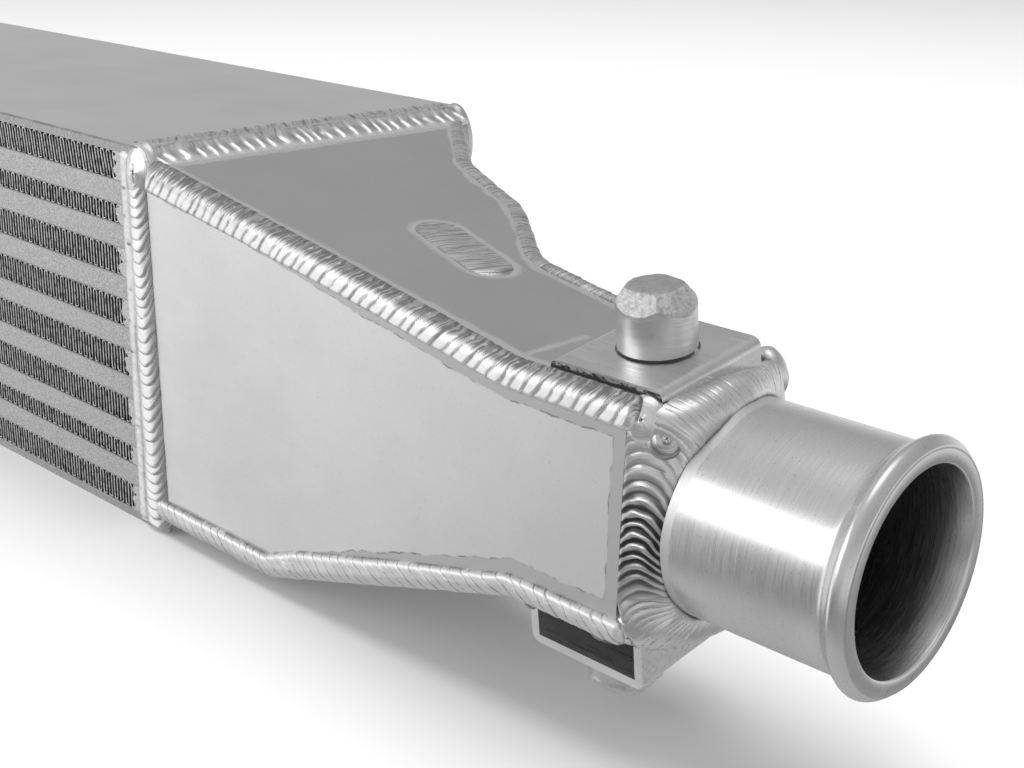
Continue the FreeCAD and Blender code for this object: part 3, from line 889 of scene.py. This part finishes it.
class INTERCOOLER_OT_fins(Work, bpy.types.Operator):
    """Replaces the coarse air rows by folded sheet at its real pitch"""

    bl_idname = "intercooler.fins"
    bl_label = "Air fins"

    def execute(self, context):
        sizes = context.scene.intercooler_fins
        finish = fin_sheet("fin_sheet", context.scene.intercooler_tones.fin)
        random = np.random.default_rng(sizes.seed)
        for row in FIN_ROWS:
            node = f"air_fins_{row}"
            low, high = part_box(node)
            points, faces = self.folded(random, sizes, low, high, row == FIN_ROWS[-1])
            add_piece(f"folded_fins_{row}", points, faces, finish, [node])
        return {"FINISHED"}

    def folded(self, random, sizes, low, high, bent):
        """One folded sheet between two corners; the bent one's legs lean more and more."""
        legs = 2 * int((high.x - low.x) / sizes.period)
        pace = (high.x - low.x) / legs
        arc = pace / 2.0
        half = sizes.gauge / 2.0
        floor, roof = low.z + half, high.z - half
        line = []
        for leg in range(legs):
            x = low.x + (leg + 0.5) * pace + random.uniform(-0.05, 0.05) * MM
            lean = random.normal(0.0, 0.06) * MM
            push = random.normal(0.0, 0.04) * MM
            slant = sizes.bend * (0.6 + 0.5 * (x / high.x) ** 6) if bent else 0.0
            shares = np.array((0.0, 0.3, 0.55, 0.78, 1.0))
            spans = floor + (roof - arc - floor) * shares
            bow = lean * np.sin(math.pi * shares) + slant * (1.0 - 2.0 * shares)
            bow = bow + push * np.sin(2.0 * math.pi * shares)
            if leg % 2:
                spans, bow = spans[::-1], bow[::-1]
            line += [(x + shift, z) for shift, z in zip(bow, spans)]
            if leg % 2 == 0 and leg < legs - 1:
                middle = x + arc - slant
                for angle in (0.75 * math.pi, 0.5 * math.pi, 0.25 * math.pi):
                    line.append((middle + arc * math.cos(angle), roof - arc + arc * math.sin(angle)))
        line = np.array(line)
        ways = unit(np.gradient(line, axis=0))
        normals = np.stack((-ways[:, 1], ways[:, 0]), axis=1) * half
        count = len(line)
        near = low.y + sizes.recess
        far = high.y - sizes.recess
        rings = []
        for side, y in ((-1.0, near), (1.0, near), (1.0, far), (-1.0, far)):
            edge = line + normals * side
            rings.append(np.stack((edge[:, 0], np.full(count, y), edge[:, 1]), axis=1))
        points = np.stack(rings, axis=1).reshape(-1, 3)
        faces = sheet_faces(count, 4, ring=True)
        ends = np.array([[3, 2, 1, 0], [4 * count - 4, 4 * count - 3, 4 * count - 2, 4 * count - 1]])
        return points, np.concatenate((faces, ends))


# How much lighter than the long bars the short ones are
END_BAR_LIGHTER = 0.12


class INTERCOOLER_OT_core(Work, bpy.types.Operator):
    """Gives the core's plates, bars and inner sheets their finishes, and the plates and bars soft edges"""

    bl_idname = "intercooler.core"
    bl_label = "Core"

    def execute(self, context):
        tones = context.scene.intercooler_tones
        plate = core_plate("core_plate", tones.plate)
        bar = sanded_bar("sanded_bar", tones.bar)
        inner = rolled_sheet("inner_sheet", 0.4, (1.0, 0.1, 1.0), 0.5)
        dress(("core_bottom_plate", "core_top_plate"), plate, 0.35 * MM)
        dress("passage_bars", bar, 0.3 * MM)
        dress(("turbulator", "parting_sheets"), inner, 0.0)
        self.end_bars(tones.bar + END_BAR_LIGHTER)
        return {"FINISHED"}

    def end_bars(self, tone):
        """The short bars at the row ends, with a ragged edge of braze towards the fins."""
        finish = sanded_bar("end_bar", tone)
        random = np.random.default_rng(11)
        points, faces = [], []
        low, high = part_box("row_end_bars_right")
        for row in FIN_ROWS:
            row_low, row_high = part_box(f"air_fins_{row}")
            heights = np.linspace(row_low.z, row_high.z, 9)
            inner = low.x - 1.8 * MM + random.uniform(-1.5, 1.5, 9) * MM
            outline = [(high.x, heights[0]), (high.x, heights[-1])]
            outline += list(zip(inner[::-1], heights[::-1]))
            start = len(points)
            count = len(outline)
            points += [(x, y, z) for y in (low.y, high.y) for x, z in outline]
            faces.append([start + index for index in range(count)])
            faces.append([start + count + index for index in reversed(range(count))])
            for index in range(count):
                after = (index + 1) % count
                faces.append([start + after, start + index, start + count + index, start + count + after])
        add_ends("row_end_bars", np.array(points), faces, finish,
                 ("row_end_bars_right", "row_end_bars_left"), smooth=False)


def dress(starts, finish, edge):
    """Gives the CAD nodes whose names start so their finish and a small round on their edges."""
    for name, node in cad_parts.items():
        if not name.startswith(starts):
            continue
        node.data.materials.clear()
        node.data.materials.append(finish)
        if edge:
            soften = node.modifiers.new("edges", "BEVEL")
            soften.width = edge
            soften.segments = 2
            soften.limit_method = "ANGLE"
            soften.angle_limit = SOFT_EDGE
            soften.harden_normals = True


class INTERCOOLER_OT_tanks(Work, bpy.types.Operator):
    """Gives the tank panels their satin finish"""

    bl_idname = "intercooler.tanks"
    bl_label = "Tanks"

    def execute(self, context):
        tones = context.scene.intercooler_tones
        along = (0.06, 1.0, 1.0)
        panel = rolled_sheet("tank_panel", tones.panel, along)
        top = rolled_sheet("tank_top_panel", tones.panel, along, seam=top_seams)
        # The front panel's lighter tone is partly painted light.
        front = rolled_sheet("tank_front_panel", tones.front, along, 0.45, 0.95, front_seams)
        dressed = {"tank_front": front, "tank_top": top, ("tank_bottom", "tank_back"): panel}
        for starts, finish in dressed.items():
            dress(starts, finish, 0.3 * MM)
        self.end_plates(panel)
        return {"FINISHED"}

    def end_plates(self, finish):
        """The plates at the narrow ends, their edges melted back under the collar."""
        turn = full_turn(180)
        half_y = NARROW_DEPTH / 2.0 - 2.4 * MM
        half_z = (NARROW_TOP - NARROW_FLOOR) / 2.0 - 1.2 * MM
        far = squarish(turn, half_y, half_z, 12.0)
        near = np.full(len(turn), pipe_radius() - 0.6 * MM)
        far = np.maximum(far, near + 0.2 * MM)
        corners = ((TANK_END, near), (TANK_END, far), (PLATE_END, far), (PLATE_END, near))
        rings = [round_pipe(x, radius, turn) for x, radius in corners]
        faces = sheet_faces(len(rings), len(turn), closed=True)
        add_ends("end_plate", np.concatenate(rings), faces, finish, ["end_plates"], smooth=False)


def pipe_radius():
    """Outer radius of the hose pipe."""
    return bpy.context.scene.intercooler_pipes.radius


class INTERCOOLER_OT_welds(Work, bpy.types.Operator):
    """Lays the rippled weld beads over the tank's seams and the core joint"""

    bl_idname = "intercooler.welds"
    bl_label = "Weld beads"

    def execute(self, context):
        sizes = context.scene.intercooler_welds
        tone = context.scene.intercooler_tones.weld
        seam = weld_metal("seam_weld_metal", tone, 0.34)
        dull = weld_metal("bottom_weld_metal", tone, 0.5)
        finish = weld_metal("weld_metal", tone, 0.3)
        front_top = [(6, 9.2, 4.6), (56, 8.2, 5.4), (100, 7.3, 5.8), (166, 7.1, 4.6),
                     (201, 7.4, 4.5)]
        front_bottom = [(2, 7.4, 3.0), (60, 7.0, 3.0), (76, 8.8, 3.0), (120, 7.8, 3.0), (158, 6.2, 2.0),
                        (201, 6.6, 1.5)]
        back = [(2, 6.0, 5.0), (120, 6.0, 5.0), (192, 6.0, 3.8)]
        lines = {
            "front_top_seam": (top_line(), 1, None, front_top),
            "front_bottom_seam": (bottom_line(), -1, None, front_bottom),
            "back_top_seam": (top_line(), 1, back_line(), back),
            "back_bottom_seam": (bottom_line(), -1, back_line(), back),
        }
        # The front top seam's upper half, which faces away from the light, is greyed as painted shade; the
        # other seams are greyed evenly.
        films_and_shades = (np.interp(ACROSS, (-0.35, 0.15), (0.0, 1.5)), 0.15, 0.9, 0.9)
        for number, (name, line) in enumerate(lines.items()):
            front = line[2] is None
            pitch = sizes.seam_pitch if front else sizes.seam_pitch * 0.66
            depth = sizes.ripple if front else sizes.ripple * 0.6
            strip = seam_strip(*line, pitch / (10.0 if front else 7.0))
            past = np.clip((strip[0][:, 0, 0] - JOINT_X) / TANK_LENGTH, 0.0, 1.0)
            bow = np.interp(ACROSS, (-1.0, 0.33, 1.0), (0.0, 1.4, 1.0))
            depth = depth * (1.7 if number == 0 else 1.0)
            bead = Bead(strip, sizes.seam_rise, pitch * (0.97 + 0.15 * past), depth, bow, 20 + number,
                        full=10.0 if front else 3.0, tilt=0.8, film=films_and_shades[number])
            add_beads(f"{name}_weld", [bead], dull if number == 1 else seam, f"{name}_beads")
        self.core_joint(sizes, finish)
        add_beads("patch_weld", [self.patch()], finish, "patch_beads")
        return {"FINISHED"}

    def core_joint(self, sizes, finish):
        """The beads round the joint of core and tank, with a blob at each upper corner."""
        beads = []
        for y, facing, seed in ((FRONT, -1.0, 31), (BACK, 1.0, 32)):
            heights = np.arange(0.6 * MM, CORE_TOP - 6.0 * MM, sizes.joint_pitch / 10.0)
            share = heights / CORE_TOP
            middle = JOINT_X + (1.2 - 2.2 * share) * MM + (facing > 0.0) * 2.6 * MM * share
            strip = upright_strip(middle, y, heights, facing, sizes.joint_width + (0.9 - 1.8 * share) * MM)
            bow = np.where(ACROSS < 0.0, 0.7, 2.0) * np.abs(ACROSS) ** 2.1
            # Painted shade: the bead's right side, which faces away from the light, is greyed, the front
            # bead's more.
            film = np.interp(ACROSS, (0.2, 0.8), (0.05, 1.0 if facing < 0.0 else 0.3))
            beads.append(Bead(strip, sizes.joint_rise, sizes.joint_pitch, sizes.ripple * 2.2, bow, seed,
                              tilt=-0.8, film=film))
            heights = np.arange(0.6 * MM, CORE_TOP - 1.5 * MM, 1.5 * MM)
            strip = upright_strip(JOINT_X - 7.0 * MM, y, heights, facing, 3.4 * MM)
            beads.append(Bead(strip, 0.6 * MM, 9.0 * MM, 0.04 * MM, 0.0 * ACROSS, seed + 5, film=0.35))
        beads.append(self.joint_cap(sizes))
        corner = np.array((JOINT_X - 0.2 * MM, FRONT + 2.2 * MM, CORE_TOP - 8.0 * MM))
        beads.append(Blob(corner, (4.2, 7.2, 9.8), (0.1, -1.0, 0.1), 51, 0.3 * MM, film=0.45))
        corner = np.array((JOINT_X + 1.8 * MM, BACK - 3.0 * MM, CORE_TOP - 12.0 * MM))
        beads.append(Blob(corner, (5.0, 8.0, 13.4), (0.1, 1.0, 0.05), 52, 0.1 * MM, film=0.8))
        add_beads("core_joint_weld", beads, finish, "core_joint_beads")

    def joint_cap(self, sizes):
        """The wide bead over the step between the core's top and the tank's slope."""
        start = np.array((JOINT_X - 9.5 * MM, 0.0, CORE_TOP))
        stop = np.array((JOINT_X + 10.0 * MM, 0.0, TOP_START - 10.0 * MM * TOP_FALL))
        side = unit(stop - start)
        up = np.array((-side[2], 0.0, side[0]))
        ys = np.arange(FRONT + 2.0 * MM, BACK - 1.6 * MM, sizes.cap_pitch / 16.0)
        path = np.tile((start + stop) / 2.0, (len(ys), 1))
        path[:, 1] = ys
        strip = flat_strip(path, side, up, sizes.cap_width)
        places = (-1.0, -0.5, 0.0, 0.45, 0.8, 1.0)
        bow = np.interp(ACROSS, places, (0.0, -0.65, -1.25, -1.55, -1.3, -0.6))
        film = np.interp(ACROSS, (-0.3, 0.3, 0.7, 0.85), (0.8, 0.3, 0.1, -1.5))
        line = np.interp(ACROSS, (-1.0, -0.8, 0.4, 0.9), (0.2, 0.7, 0.8, 0.1))
        depth = sizes.ripple * 3.0 * np.interp(ACROSS, (-0.8, -0.3, 0.4), (0.04, 0.3, 1.0))
        rise = sizes.cap_rise * (0.6 + 0.4 * np.clip((ys - FRONT) / (16.0 * MM), 0.0, 1.0))
        return Bead(strip, rise, sizes.cap_pitch, depth[None, :], bow, 33, 2.5 * MM, sharp=0.95,
                    film=film, fade=0.6, line=line, thick=0.36)

    def patch(self):
        """The filled slot on the sloping top panel."""
        slope = math.atan(TOP_FALL)
        along = np.array((math.cos(PATCH_TURN) * math.cos(slope), math.sin(PATCH_TURN),
                          -math.cos(PATCH_TURN) * math.sin(slope)))
        up = np.array((math.sin(slope), 0.0, math.cos(slope)))
        centre = np.array((PATCH_X, PATCH_Y, TOP_START - (PATCH_X - JOINT_X) * TOP_FALL))
        stations = np.arange(-PATCH_HALF, PATCH_HALF, 0.34 * MM)
        inside = np.clip((PATCH_HALF - np.abs(stations)) / PATCH_WIDTH, 0.0, 1.0)
        half = PATCH_WIDTH * np.sqrt(np.clip(1.0 - (1.0 - inside) ** 2, 0.01, 1.0))
        strip = flat_strip(centre + stations[:, None] * along, np.cross(up, along), up, half)
        bow = 0.8 * (1.0 - ACROSS ** 2)
        rise = 1.3 * MM * (half / PATCH_WIDTH)
        return Bead(strip, rise, 3.0 * MM, 0.18 * MM, bow, 41, 0.5 * MM, sharp=0.4, film=0.8)


class INTERCOOLER_OT_pipes(Work, bpy.types.Operator):
    """Turns the hose pipes with their rolled beads, and lays the weld round their feet"""

    bl_idname = "intercooler.pipes"
    bl_label = "Hose pipes"

    def execute(self, context):
        sizes = context.scene.intercooler_pipes
        finish = spun_pipe("spun_pipe", context.scene.intercooler_tones.pipe)
        mouth = PLATE_END + sizes.reach
        crest = mouth - sizes.lip
        bore = sizes.radius - sizes.wall
        profile = [(TANK_END, bore), (TANK_END, sizes.radius), (PLATE_END, sizes.radius)]
        profile += [(x, sizes.radius) for x in np.linspace(PLATE_END + 3.0 * MM, crest - 6.0 * MM, 14)]
        for share in np.linspace(-1.0, 0.62, 18):
            bump = 0.5 + 0.5 * math.cos(math.pi * share)
            profile.append((crest + share * sizes.bead_half * 1.2, sizes.radius + sizes.bead_rise * bump))
        lip_radius = profile[-1][1]
        edge = 0.5 * MM
        profile += [(mouth - edge * 0.3, lip_radius - edge * 0.4), (mouth, lip_radius - edge * 1.3)]
        profile += [(mouth, bore + edge), (mouth - edge * 0.3, bore + edge * 0.3), (mouth - edge, bore)]
        points, faces = turned(profile, 128)
        add_ends("hose_pipe", points, faces, finish, ["hose_pipes"])
        self.collar(context, sizes)
        return {"FINISHED"}

    def collar(self, context, sizes):
        """The weld round the pipe's foot, from the square end plate up to the round pipe."""
        finish = weld_metal("collar_weld_metal", context.scene.intercooler_tones.weld, 0.28)
        reach = context.scene.intercooler_welds.collar_reach
        turn = np.linspace(0.0, 2.0 * math.pi, 900)
        degrees = np.degrees(turn)
        stops, *table = np.array(COLLAR_STOPS).T
        start, bulge, pitch, depth, spill, toe = (np.interp(degrees, stops, row * MM) for row in table)
        half_y, half_z = NARROW_DEPTH / 2.0, (NARROW_TOP - NARROW_FLOOR) / 2.0
        outline = squarish(turn, half_y, half_z, 10.0) + 0.3 * MM
        outline = np.minimum(outline, sizes.radius + 12.5 * MM) + spill
        tip = toe * reach / np.mean(toe)
        share = (ACROSS + 1.0) / 2.0
        radial = outline[:, None] * (1.0 - share) + (sizes.radius + 0.25 * MM) * share
        axial = start[:, None] * (1.0 - share) + tip[:, None] * share
        way = unit(np.stack((tip - start, sizes.radius - outline), axis=1))
        arch = bulge[:, None] * np.sin(math.pi * share)
        axial = axial - arch * way[:, 1:2]
        radial = radial + arch * way[:, 0:1]
        base = round_pipe(PLATE_END + axial, radial, turn[:, None])
        normals = (-way[:, 1], way[:, 0] * np.cos(turn), way[:, 0] * np.sin(turn))
        normals = np.stack(normals, axis=-1)
        normals = np.broadcast_to(normals[:, None], base.shape)
        strip = (base, normals, np.broadcast_to(ACROSS, base.shape[:2]))
        bow = np.interp(degrees, (120, 145, 215, 240, 300), (0.6, -1.2, -1.2, -3.4, -2.4))
        # On its front the collar is darkened nearly black between thin crests: a painted dark reflection.
        front = np.exp(-((degrees - 184.0) / 31.0) ** 4)
        ring = Bead(strip, 0.35 * MM, pitch, depth, bow[:, None] * (1.0 - ACROSS ** 2), 53, 0.8 * MM,
                    sharp=front, soot=front, fade=0.4 + 1.6 * front, thick=0.6)
        corner = np.array((PLATE_END, FRONT, NARROW_TOP))
        # The crater blob gets a dark ring, a painted shadow round its rim.
        crater = corner + np.array((3.8, 5.1, -8.7)) * MM
        upper = corner + np.array((-1.4, 3.6, -4.8)) * MM
        lower = np.array((PLATE_END - 1.8 * MM, FRONT + 3.4 * MM, NARROW_FLOOR + 3.6 * MM))
        rear = np.array((TANK_END + 1.2 * MM, FRONT + NARROW_DEPTH - 2.4 * MM, NARROW_TOP - 5.0 * MM))
        # A small dark lump by the bottom bracket's start, darkened through the soot mark.
        dark_spot = np.array((PLATE_END - 33.0 * MM, FRONT + 1.6 * MM, NARROW_FLOOR - 0.6 * MM))
        beads = [
            ring,
            Blob(crater, (2.7, 4.7, 4.7), (0.55, -0.68, 0.48), 54, 0.16 * MM, 0.04 * MM, film=0.9, soot=0.9),
            Blob(upper, (3.2, 5.4, 6.0), (0.3, -0.9, 0.3), 55, 0.1 * MM),
            Blob(lower, (3.4, 4.6, 5.0), (0.35, -0.85, -0.35), 56, 0.12 * MM),
            Blob(rear, (4.2, 5.6, 7.0), (0.5, 0.75, 0.3), 57, 0.12 * MM, film=0.5),
            Blob(dark_spot, (1.6, 2.0, 1.6), (0.0, -1.0, -0.3), 58, 0.2 * MM, film=1.5, soot=1.0),
        ]
        add_beads("pipe_collar_weld", beads, finish, "pipe_collar_beads")


# Round the collar from the back over the top: degrees, then in millimetres its start ahead of the
# plate's face, bulge, ripple spacing, ripple depth, spill past the plate's edge, length on the pipe
COLLAR_STOPS = (
    (0, -3.0, 0.3, 2.6, 0.25, 0.0, 4.0), (45, -0.6, 0.2, 2.2, 0.18, 0.0, 5.5),
    (70, 0.2, 2.2, 2.0, 0.16, 0.0, 9.0), (90, 0.4, 3.2, 1.9, 0.14, 0.0, 11.2),
    (120, 0.2, 3.0, 1.8, 0.14, 0.0, 11.4), (133, -1.0, 2.0, 2.4, 0.25, 0.0, 10.3),
    (142, -4.3, 0.2, 2.9, 0.55, 0.0, 9.0), (180, -4.3, -0.1, 2.9, 0.65, 0.0, 7.4),
    (214, -4.2, -0.1, 2.8, 0.55, 0.0, 7.2), (226, 0.6, 1.8, 1.9, 0.3, 1.0, 8.0),
    (240, 2.2, 2.6, 1.6, 0.16, 3.2, 8.5), (270, 2.3, 2.6, 1.6, 0.16, 3.4, 8.5),
    (300, 2.0, 2.4, 1.8, 0.2, 2.6, 8.0), (318, -1.0, 1.6, 2.2, 0.22, 0.0, 6.0),
    (360, -3.0, 0.3, 2.6, 0.25, 0.0, 4.0),
)


def turned(profile, sides):
    """A closed profile of X and radius turned about the pipe's axis."""
    points = round_pipe(*np.array(profile).T, full_turn(sides)[:, None])
    return points.reshape(-1, 3), sheet_faces(sides, len(profile), closed=True)


# Brackets and pegs, which lean towards the front
LEAN = math.radians(8.0)
PEG_RADIUS = 10.0 * MM
NECK_RADIUS = 9.0 * MM
NECK_LENGTH = 2.2 * MM


class INTERCOOLER_OT_fittings(Work, bpy.types.Operator):
    """Dresses the folded brackets and makes the pegs with their ground ends"""

    bl_idname = "intercooler.fittings"
    bl_label = "Brackets and pegs"

    def execute(self, context):
        tone = context.scene.intercooler_tones.fitting
        peg = turned_peg("turned_peg", tone)
        # The bottom brackets' grey, lighter than the top ones' on the same sheet, is painted light.
        for name, shade, scorched_and_shadowed in (("top_brackets", tone, 1.0), ("bottom_brackets", 0.97, 0.0)):
            sheet = cut_sheet(f"{name}_sheet", shade, scorched_and_shadowed)
            dress(name, sheet, 0.25 * MM)
        right = PLATE_END + 2.0 * MM
        near = FRONT + 4.8 * MM
        axis = np.array((0.0, -math.sin(LEAN), math.cos(LEAN)))
        inward = np.array((0.0, math.cos(LEAN), math.sin(LEAN)))
        across = np.array((1.0, 0.0, 0.0))
        top = np.array((right - 17.4 * MM, near, NARROW_TOP + 2.4 * MM)) + inward * 20.0 * MM
        low = np.array((right - 21.0 * MM, near, NARROW_FLOOR - 13.0 * MM)) + inward * 18.0 * MM
        self.peg("top_peg", peg, top, axis, inward, across, 16.6 * MM, "top_pegs", 61)
        self.peg("bottom_peg", peg, low, -axis, inward, -across, 16.5 * MM, "bottom_pegs", 62)
        return {"FINISHED"}

    def peg(self, name, finish, foot, axis, inward, across, height, node, seed):
        """A turned peg whose end was ground by hand into uneven facets."""
        random = np.random.default_rng(seed)
        radius, sides, rings = PEG_RADIUS, 120, 48
        turn = full_turn(sides)
        shares = np.concatenate((np.linspace(0.0, 0.5, 10), np.linspace(0.52, 1.0, rings - 10)))[1:]
        cuts = []
        for drop, steep, count in ((4.7 * MM, 1.3, 10), (1.5 * MM, 0.36, 7)):
            for angle in full_turn(count):
                cuts.append((angle + random.uniform(-0.2, 0.2), drop * random.uniform(0.9, 1.12),
                             steep * random.uniform(0.9, 1.1)))
        grid = shares[:, None] * radius
        east, north = grid * np.cos(turn), grid * np.sin(turn)
        top = np.full(east.shape, height)
        for angle, drop, steep in cuts:
            out = east * math.cos(angle) + north * math.sin(angle)
            top = np.minimum(top, height - drop + (radius - out) * steep)
        top = top + 0.03 * MM * rough_grid(random, rings - 1, sides, 5.0)
        levels = np.linspace(0.0, 1.0, 10)[1:]
        foot_gap = 0.35 * MM
        low = foot_gap + 0.3 * MM
        wall = [around(radius, turn, top[-1] * (1.0 - level) + low * level) for level in levels]
        wall.append(around(9.7 * MM, turn, foot_gap))
        neck = [around(NECK_RADIUS, turn, level) for level in (foot_gap, -NECK_LENGTH)]
        cap = np.stack((east, north, top), axis=-1)
        local = np.concatenate((cap, np.array(wall), np.array(neck))).reshape(-1, 3)
        tip = len(local)
        local = np.concatenate((local, [(0.0, 0.0, height), (0.0, 0.0, -NECK_LENGTH)]))
        points = foot + local[:, :1] * across + local[:, 1:2] * inward + local[:, 2:] * axis
        rows = tip // sides
        faces = [list(face) for face in sheet_faces(rows, sides, ring=True)]
        faces += [[(index + 1) % sides, index, tip] for index in range(sides)]
        last = tip - sides
        faces += [[last + index, last + (index + 1) % sides, tip + 1] for index in range(sides)]
        if np.cross(across, inward) @ axis > 0.0:
            faces = [face[::-1] for face in faces]
        ground = {"ground": 1.0 * (np.arange(len(points)) < len(cap) * sides)}
        ground["ground"] += local[:, 2] > height - 0.35 * MM
        add_ends(name, points, faces, finish, [node], smooth=False, marks=ground)


def around(radius, turn, height):
    """Points of a circle at a height, or at one height for each."""
    circle = (radius * np.cos(turn), radius * np.sin(turn), np.broadcast_to(height, len(turn)))
    return np.stack(circle, axis=1)


# Greys of the room from straight below to straight above, as pairs of place and grey
ROOM_BEHIND = (
    (0.0, 0.5), (0.12, 0.44), (0.28, 0.26), (0.4, 0.85), (0.5, 0.78),
    (0.58, 0.58), (0.72, 0.37), (0.82, 0.46), (1.0, 0.55),
)
ROOM_FRONT = (
    (0.0, 0.5), (0.1, 0.52), (0.2, 0.33), (0.32, 0.22), (0.45, 0.38),
    (0.5, 0.6), (0.7, 0.6), (0.85, 0.56), (1.0, 0.56),
)


# Bright card low in front on the left, as the way towards it and its grey, and the grey overhead
CARD_WAY = (-0.847, -0.489, -0.208)
CARD_GREY = 1.0
ZENITH_GREY = 1.5

FLOOR_HALF = 6.0

# The photograph's camera: place, turn, fall and roll in degrees, focal length in pixels, shift
CAMERA_PLACE = (0.6598, -0.3275, 0.2157)
CAMERA_ANGLES = (43.35, 19.58, 1.65)
CAMERA_SHIFT = (0.0018, 0.0142)
FOCAL_PIXELS = 1525.0
IMAGE_WIDTH = 1024.0
SENSOR_WIDTH = 36.0


class INTERCOOLER_OT_stage(Work, bpy.types.Operator):
    """Sets the floor, the soft lights and the camera at the photograph's angle"""

    bl_idname = "intercooler.stage"
    bl_label = "Stage"

    def execute(self, context):
        self.floor()
        self.lights(context)
        self.camera(context)
        return {"FINISHED"}

    def floor(self):
        """A pale plain floor."""
        mesh = bpy.data.meshes.new("floor")
        half = FLOOR_HALF
        mesh.from_pydata([(-half, -half, 0), (half, -half, 0), (half, half, 0), (-half, half, 0)],
                         [], [(0, 1, 2, 3)])
        floor = put("floor", mesh)
        finish = Finish("floor_paint", 0.0)
        finish.surface(finish.blend(finish.noise(0.6), 0.88, 0.9), 0.8)
        mesh.materials.append(finish.material)
        floor.visible_glossy = False

    def lights(self, context):
        """A soft box in front on the left, one overhead, and a room in even greys."""
        context.scene.view_settings.view_transform = "Standard"
        soft_box("front_box", (-0.55, -1.35, 0.62), (0.42, -0.04, 0.07), (1.5, 0.85), 6.5)
        overhead = soft_box("overhead", (0.3, 0.3, 2.3), (0.3, 0.0, 0.0), (2.2, 2.2), 42.0)
        overhead.visible_glossy = False
        world = bpy.data.worlds.new("room")
        context.scene.world = world
        world.use_nodes = True
        room = Nodes(world.node_tree, "Generated")
        height = room.part_of("Z") * 0.5 + 0.5
        ahead = (room.part_of("X") * -0.53 + room.part_of("Y") * -0.85).ramp(-0.2, 0.5)
        behind = room.node("ShaderNodeValToRGB", {"stops": ROOM_BEHIND}, {0: height})
        front = room.node("ShaderNodeValToRGB", {"stops": ROOM_FRONT}, {0: height})
        back = world.node_tree.nodes["Background"]
        shade = room.blend(ahead, behind, front)
        card = room.part_of("X") * CARD_WAY[0] + room.part_of("Y") * CARD_WAY[1]
        card = card + room.part_of("Z") * CARD_WAY[2]
        shade = room.blend(card.ramp(0.9, 0.955), shade, CARD_GREY)
        shade = room.blend(room.part_of("Z").ramp(0.89, 0.97), shade, ZENITH_GREY)
        room.feed(back.inputs["Color"], shade)

    def camera(self, context):
        """The camera where the photograph was taken from."""
        turn, fall, roll = (math.radians(value) for value in CAMERA_ANGLES)
        ahead = Vector((-math.sin(turn) * math.cos(fall), math.cos(turn) * math.cos(fall), -math.sin(fall)))
        right = ahead.cross(Vector((0.0, 0.0, 1.0))).normalized()
        upward = right.cross(ahead)
        across = right * math.cos(roll) + upward * math.sin(roll)
        above = upward * math.cos(roll) - right * math.sin(roll)
        data = bpy.data.cameras.new("camera")
        data.lens = FOCAL_PIXELS * SENSOR_WIDTH / IMAGE_WIDTH
        data.sensor_width = SENSOR_WIDTH
        data.shift_x, data.shift_y = CAMERA_SHIFT
        data.clip_start = 0.01
        eye = put("camera", data)
        axes = Matrix((across, above, -ahead)).transposed().to_4x4()
        eye.matrix_world = Matrix.Translation(Vector(CAMERA_PLACE)) @ axes
        context.scene.camera = eye


def soft_box(name, place, target, size, power):
    """A rectangular area light that faces a target."""
    data = bpy.data.lights.new(name, "AREA")
    data.shape = "RECTANGLE"
    data.size, data.size_y = size
    data.energy = power
    lamp = put(name, data)
    way = Vector(target) - Vector(place)
    lamp.location = place
    lamp.rotation_euler = way.to_track_quat("-Z", "Y").to_euler()
    return lamp


class INTERCOOLER_PT_sidebar(bpy.types.Panel):
    """Lists the intercooler's pieces and their sizes"""

    bl_label = "Intercooler"
    bl_space_type = "VIEW_3D"
    bl_region_type = "UI"
    bl_category = "Intercooler"

    def draw(self, context):
        for operator in OPERATORS:
            self.layout.operator(operator.bl_idname)
        for name, group in GROUPS.items():
            box = self.layout.box()
            sizes = getattr(context.scene, name)
            for field in group.__annotations__:
                box.prop(sizes, field)


OPERATORS = (
    INTERCOOLER_OT_fins,
    INTERCOOLER_OT_core,
    INTERCOOLER_OT_tanks,
    INTERCOOLER_OT_welds,
    INTERCOOLER_OT_pipes,
    INTERCOOLER_OT_fittings,
    INTERCOOLER_OT_stage,
)
GROUPS = {
    "intercooler_fins": FinSizes,
    "intercooler_welds": WeldSizes,
    "intercooler_pipes": PipeSizes,
    "intercooler_tones": MetalTones,
}


def register():
    """Adds the classes, and the sizes to every scene."""
    for group in GROUPS.values():
        bpy.utils.register_class(group)
    for operator in OPERATORS:
        bpy.utils.register_class(operator)
    bpy.utils.register_class(INTERCOOLER_PT_sidebar)
    for name, group in GROUPS.items():
        setattr(bpy.types.Scene, name, PointerProperty(type=group))


def unregister():
    """Takes everything away again."""
    for name in GROUPS:
        delattr(bpy.types.Scene, name)
    bpy.utils.unregister_class(INTERCOOLER_PT_sidebar)
    for operator in reversed(OPERATORS):
        bpy.utils.unregister_class(operator)
    for group in GROUPS.values():
        bpy.utils.unregister_class(group)


def main():
    """Builds every piece in order."""
    register()
    bpy.ops.intercooler.fins()
    bpy.ops.intercooler.core()
    bpy.ops.intercooler.tanks()
    bpy.ops.intercooler.welds()
    bpy.ops.intercooler.pipes()
    bpy.ops.intercooler.fittings()
    bpy.ops.intercooler.stage()


if __name__ == "__main__":
    main()
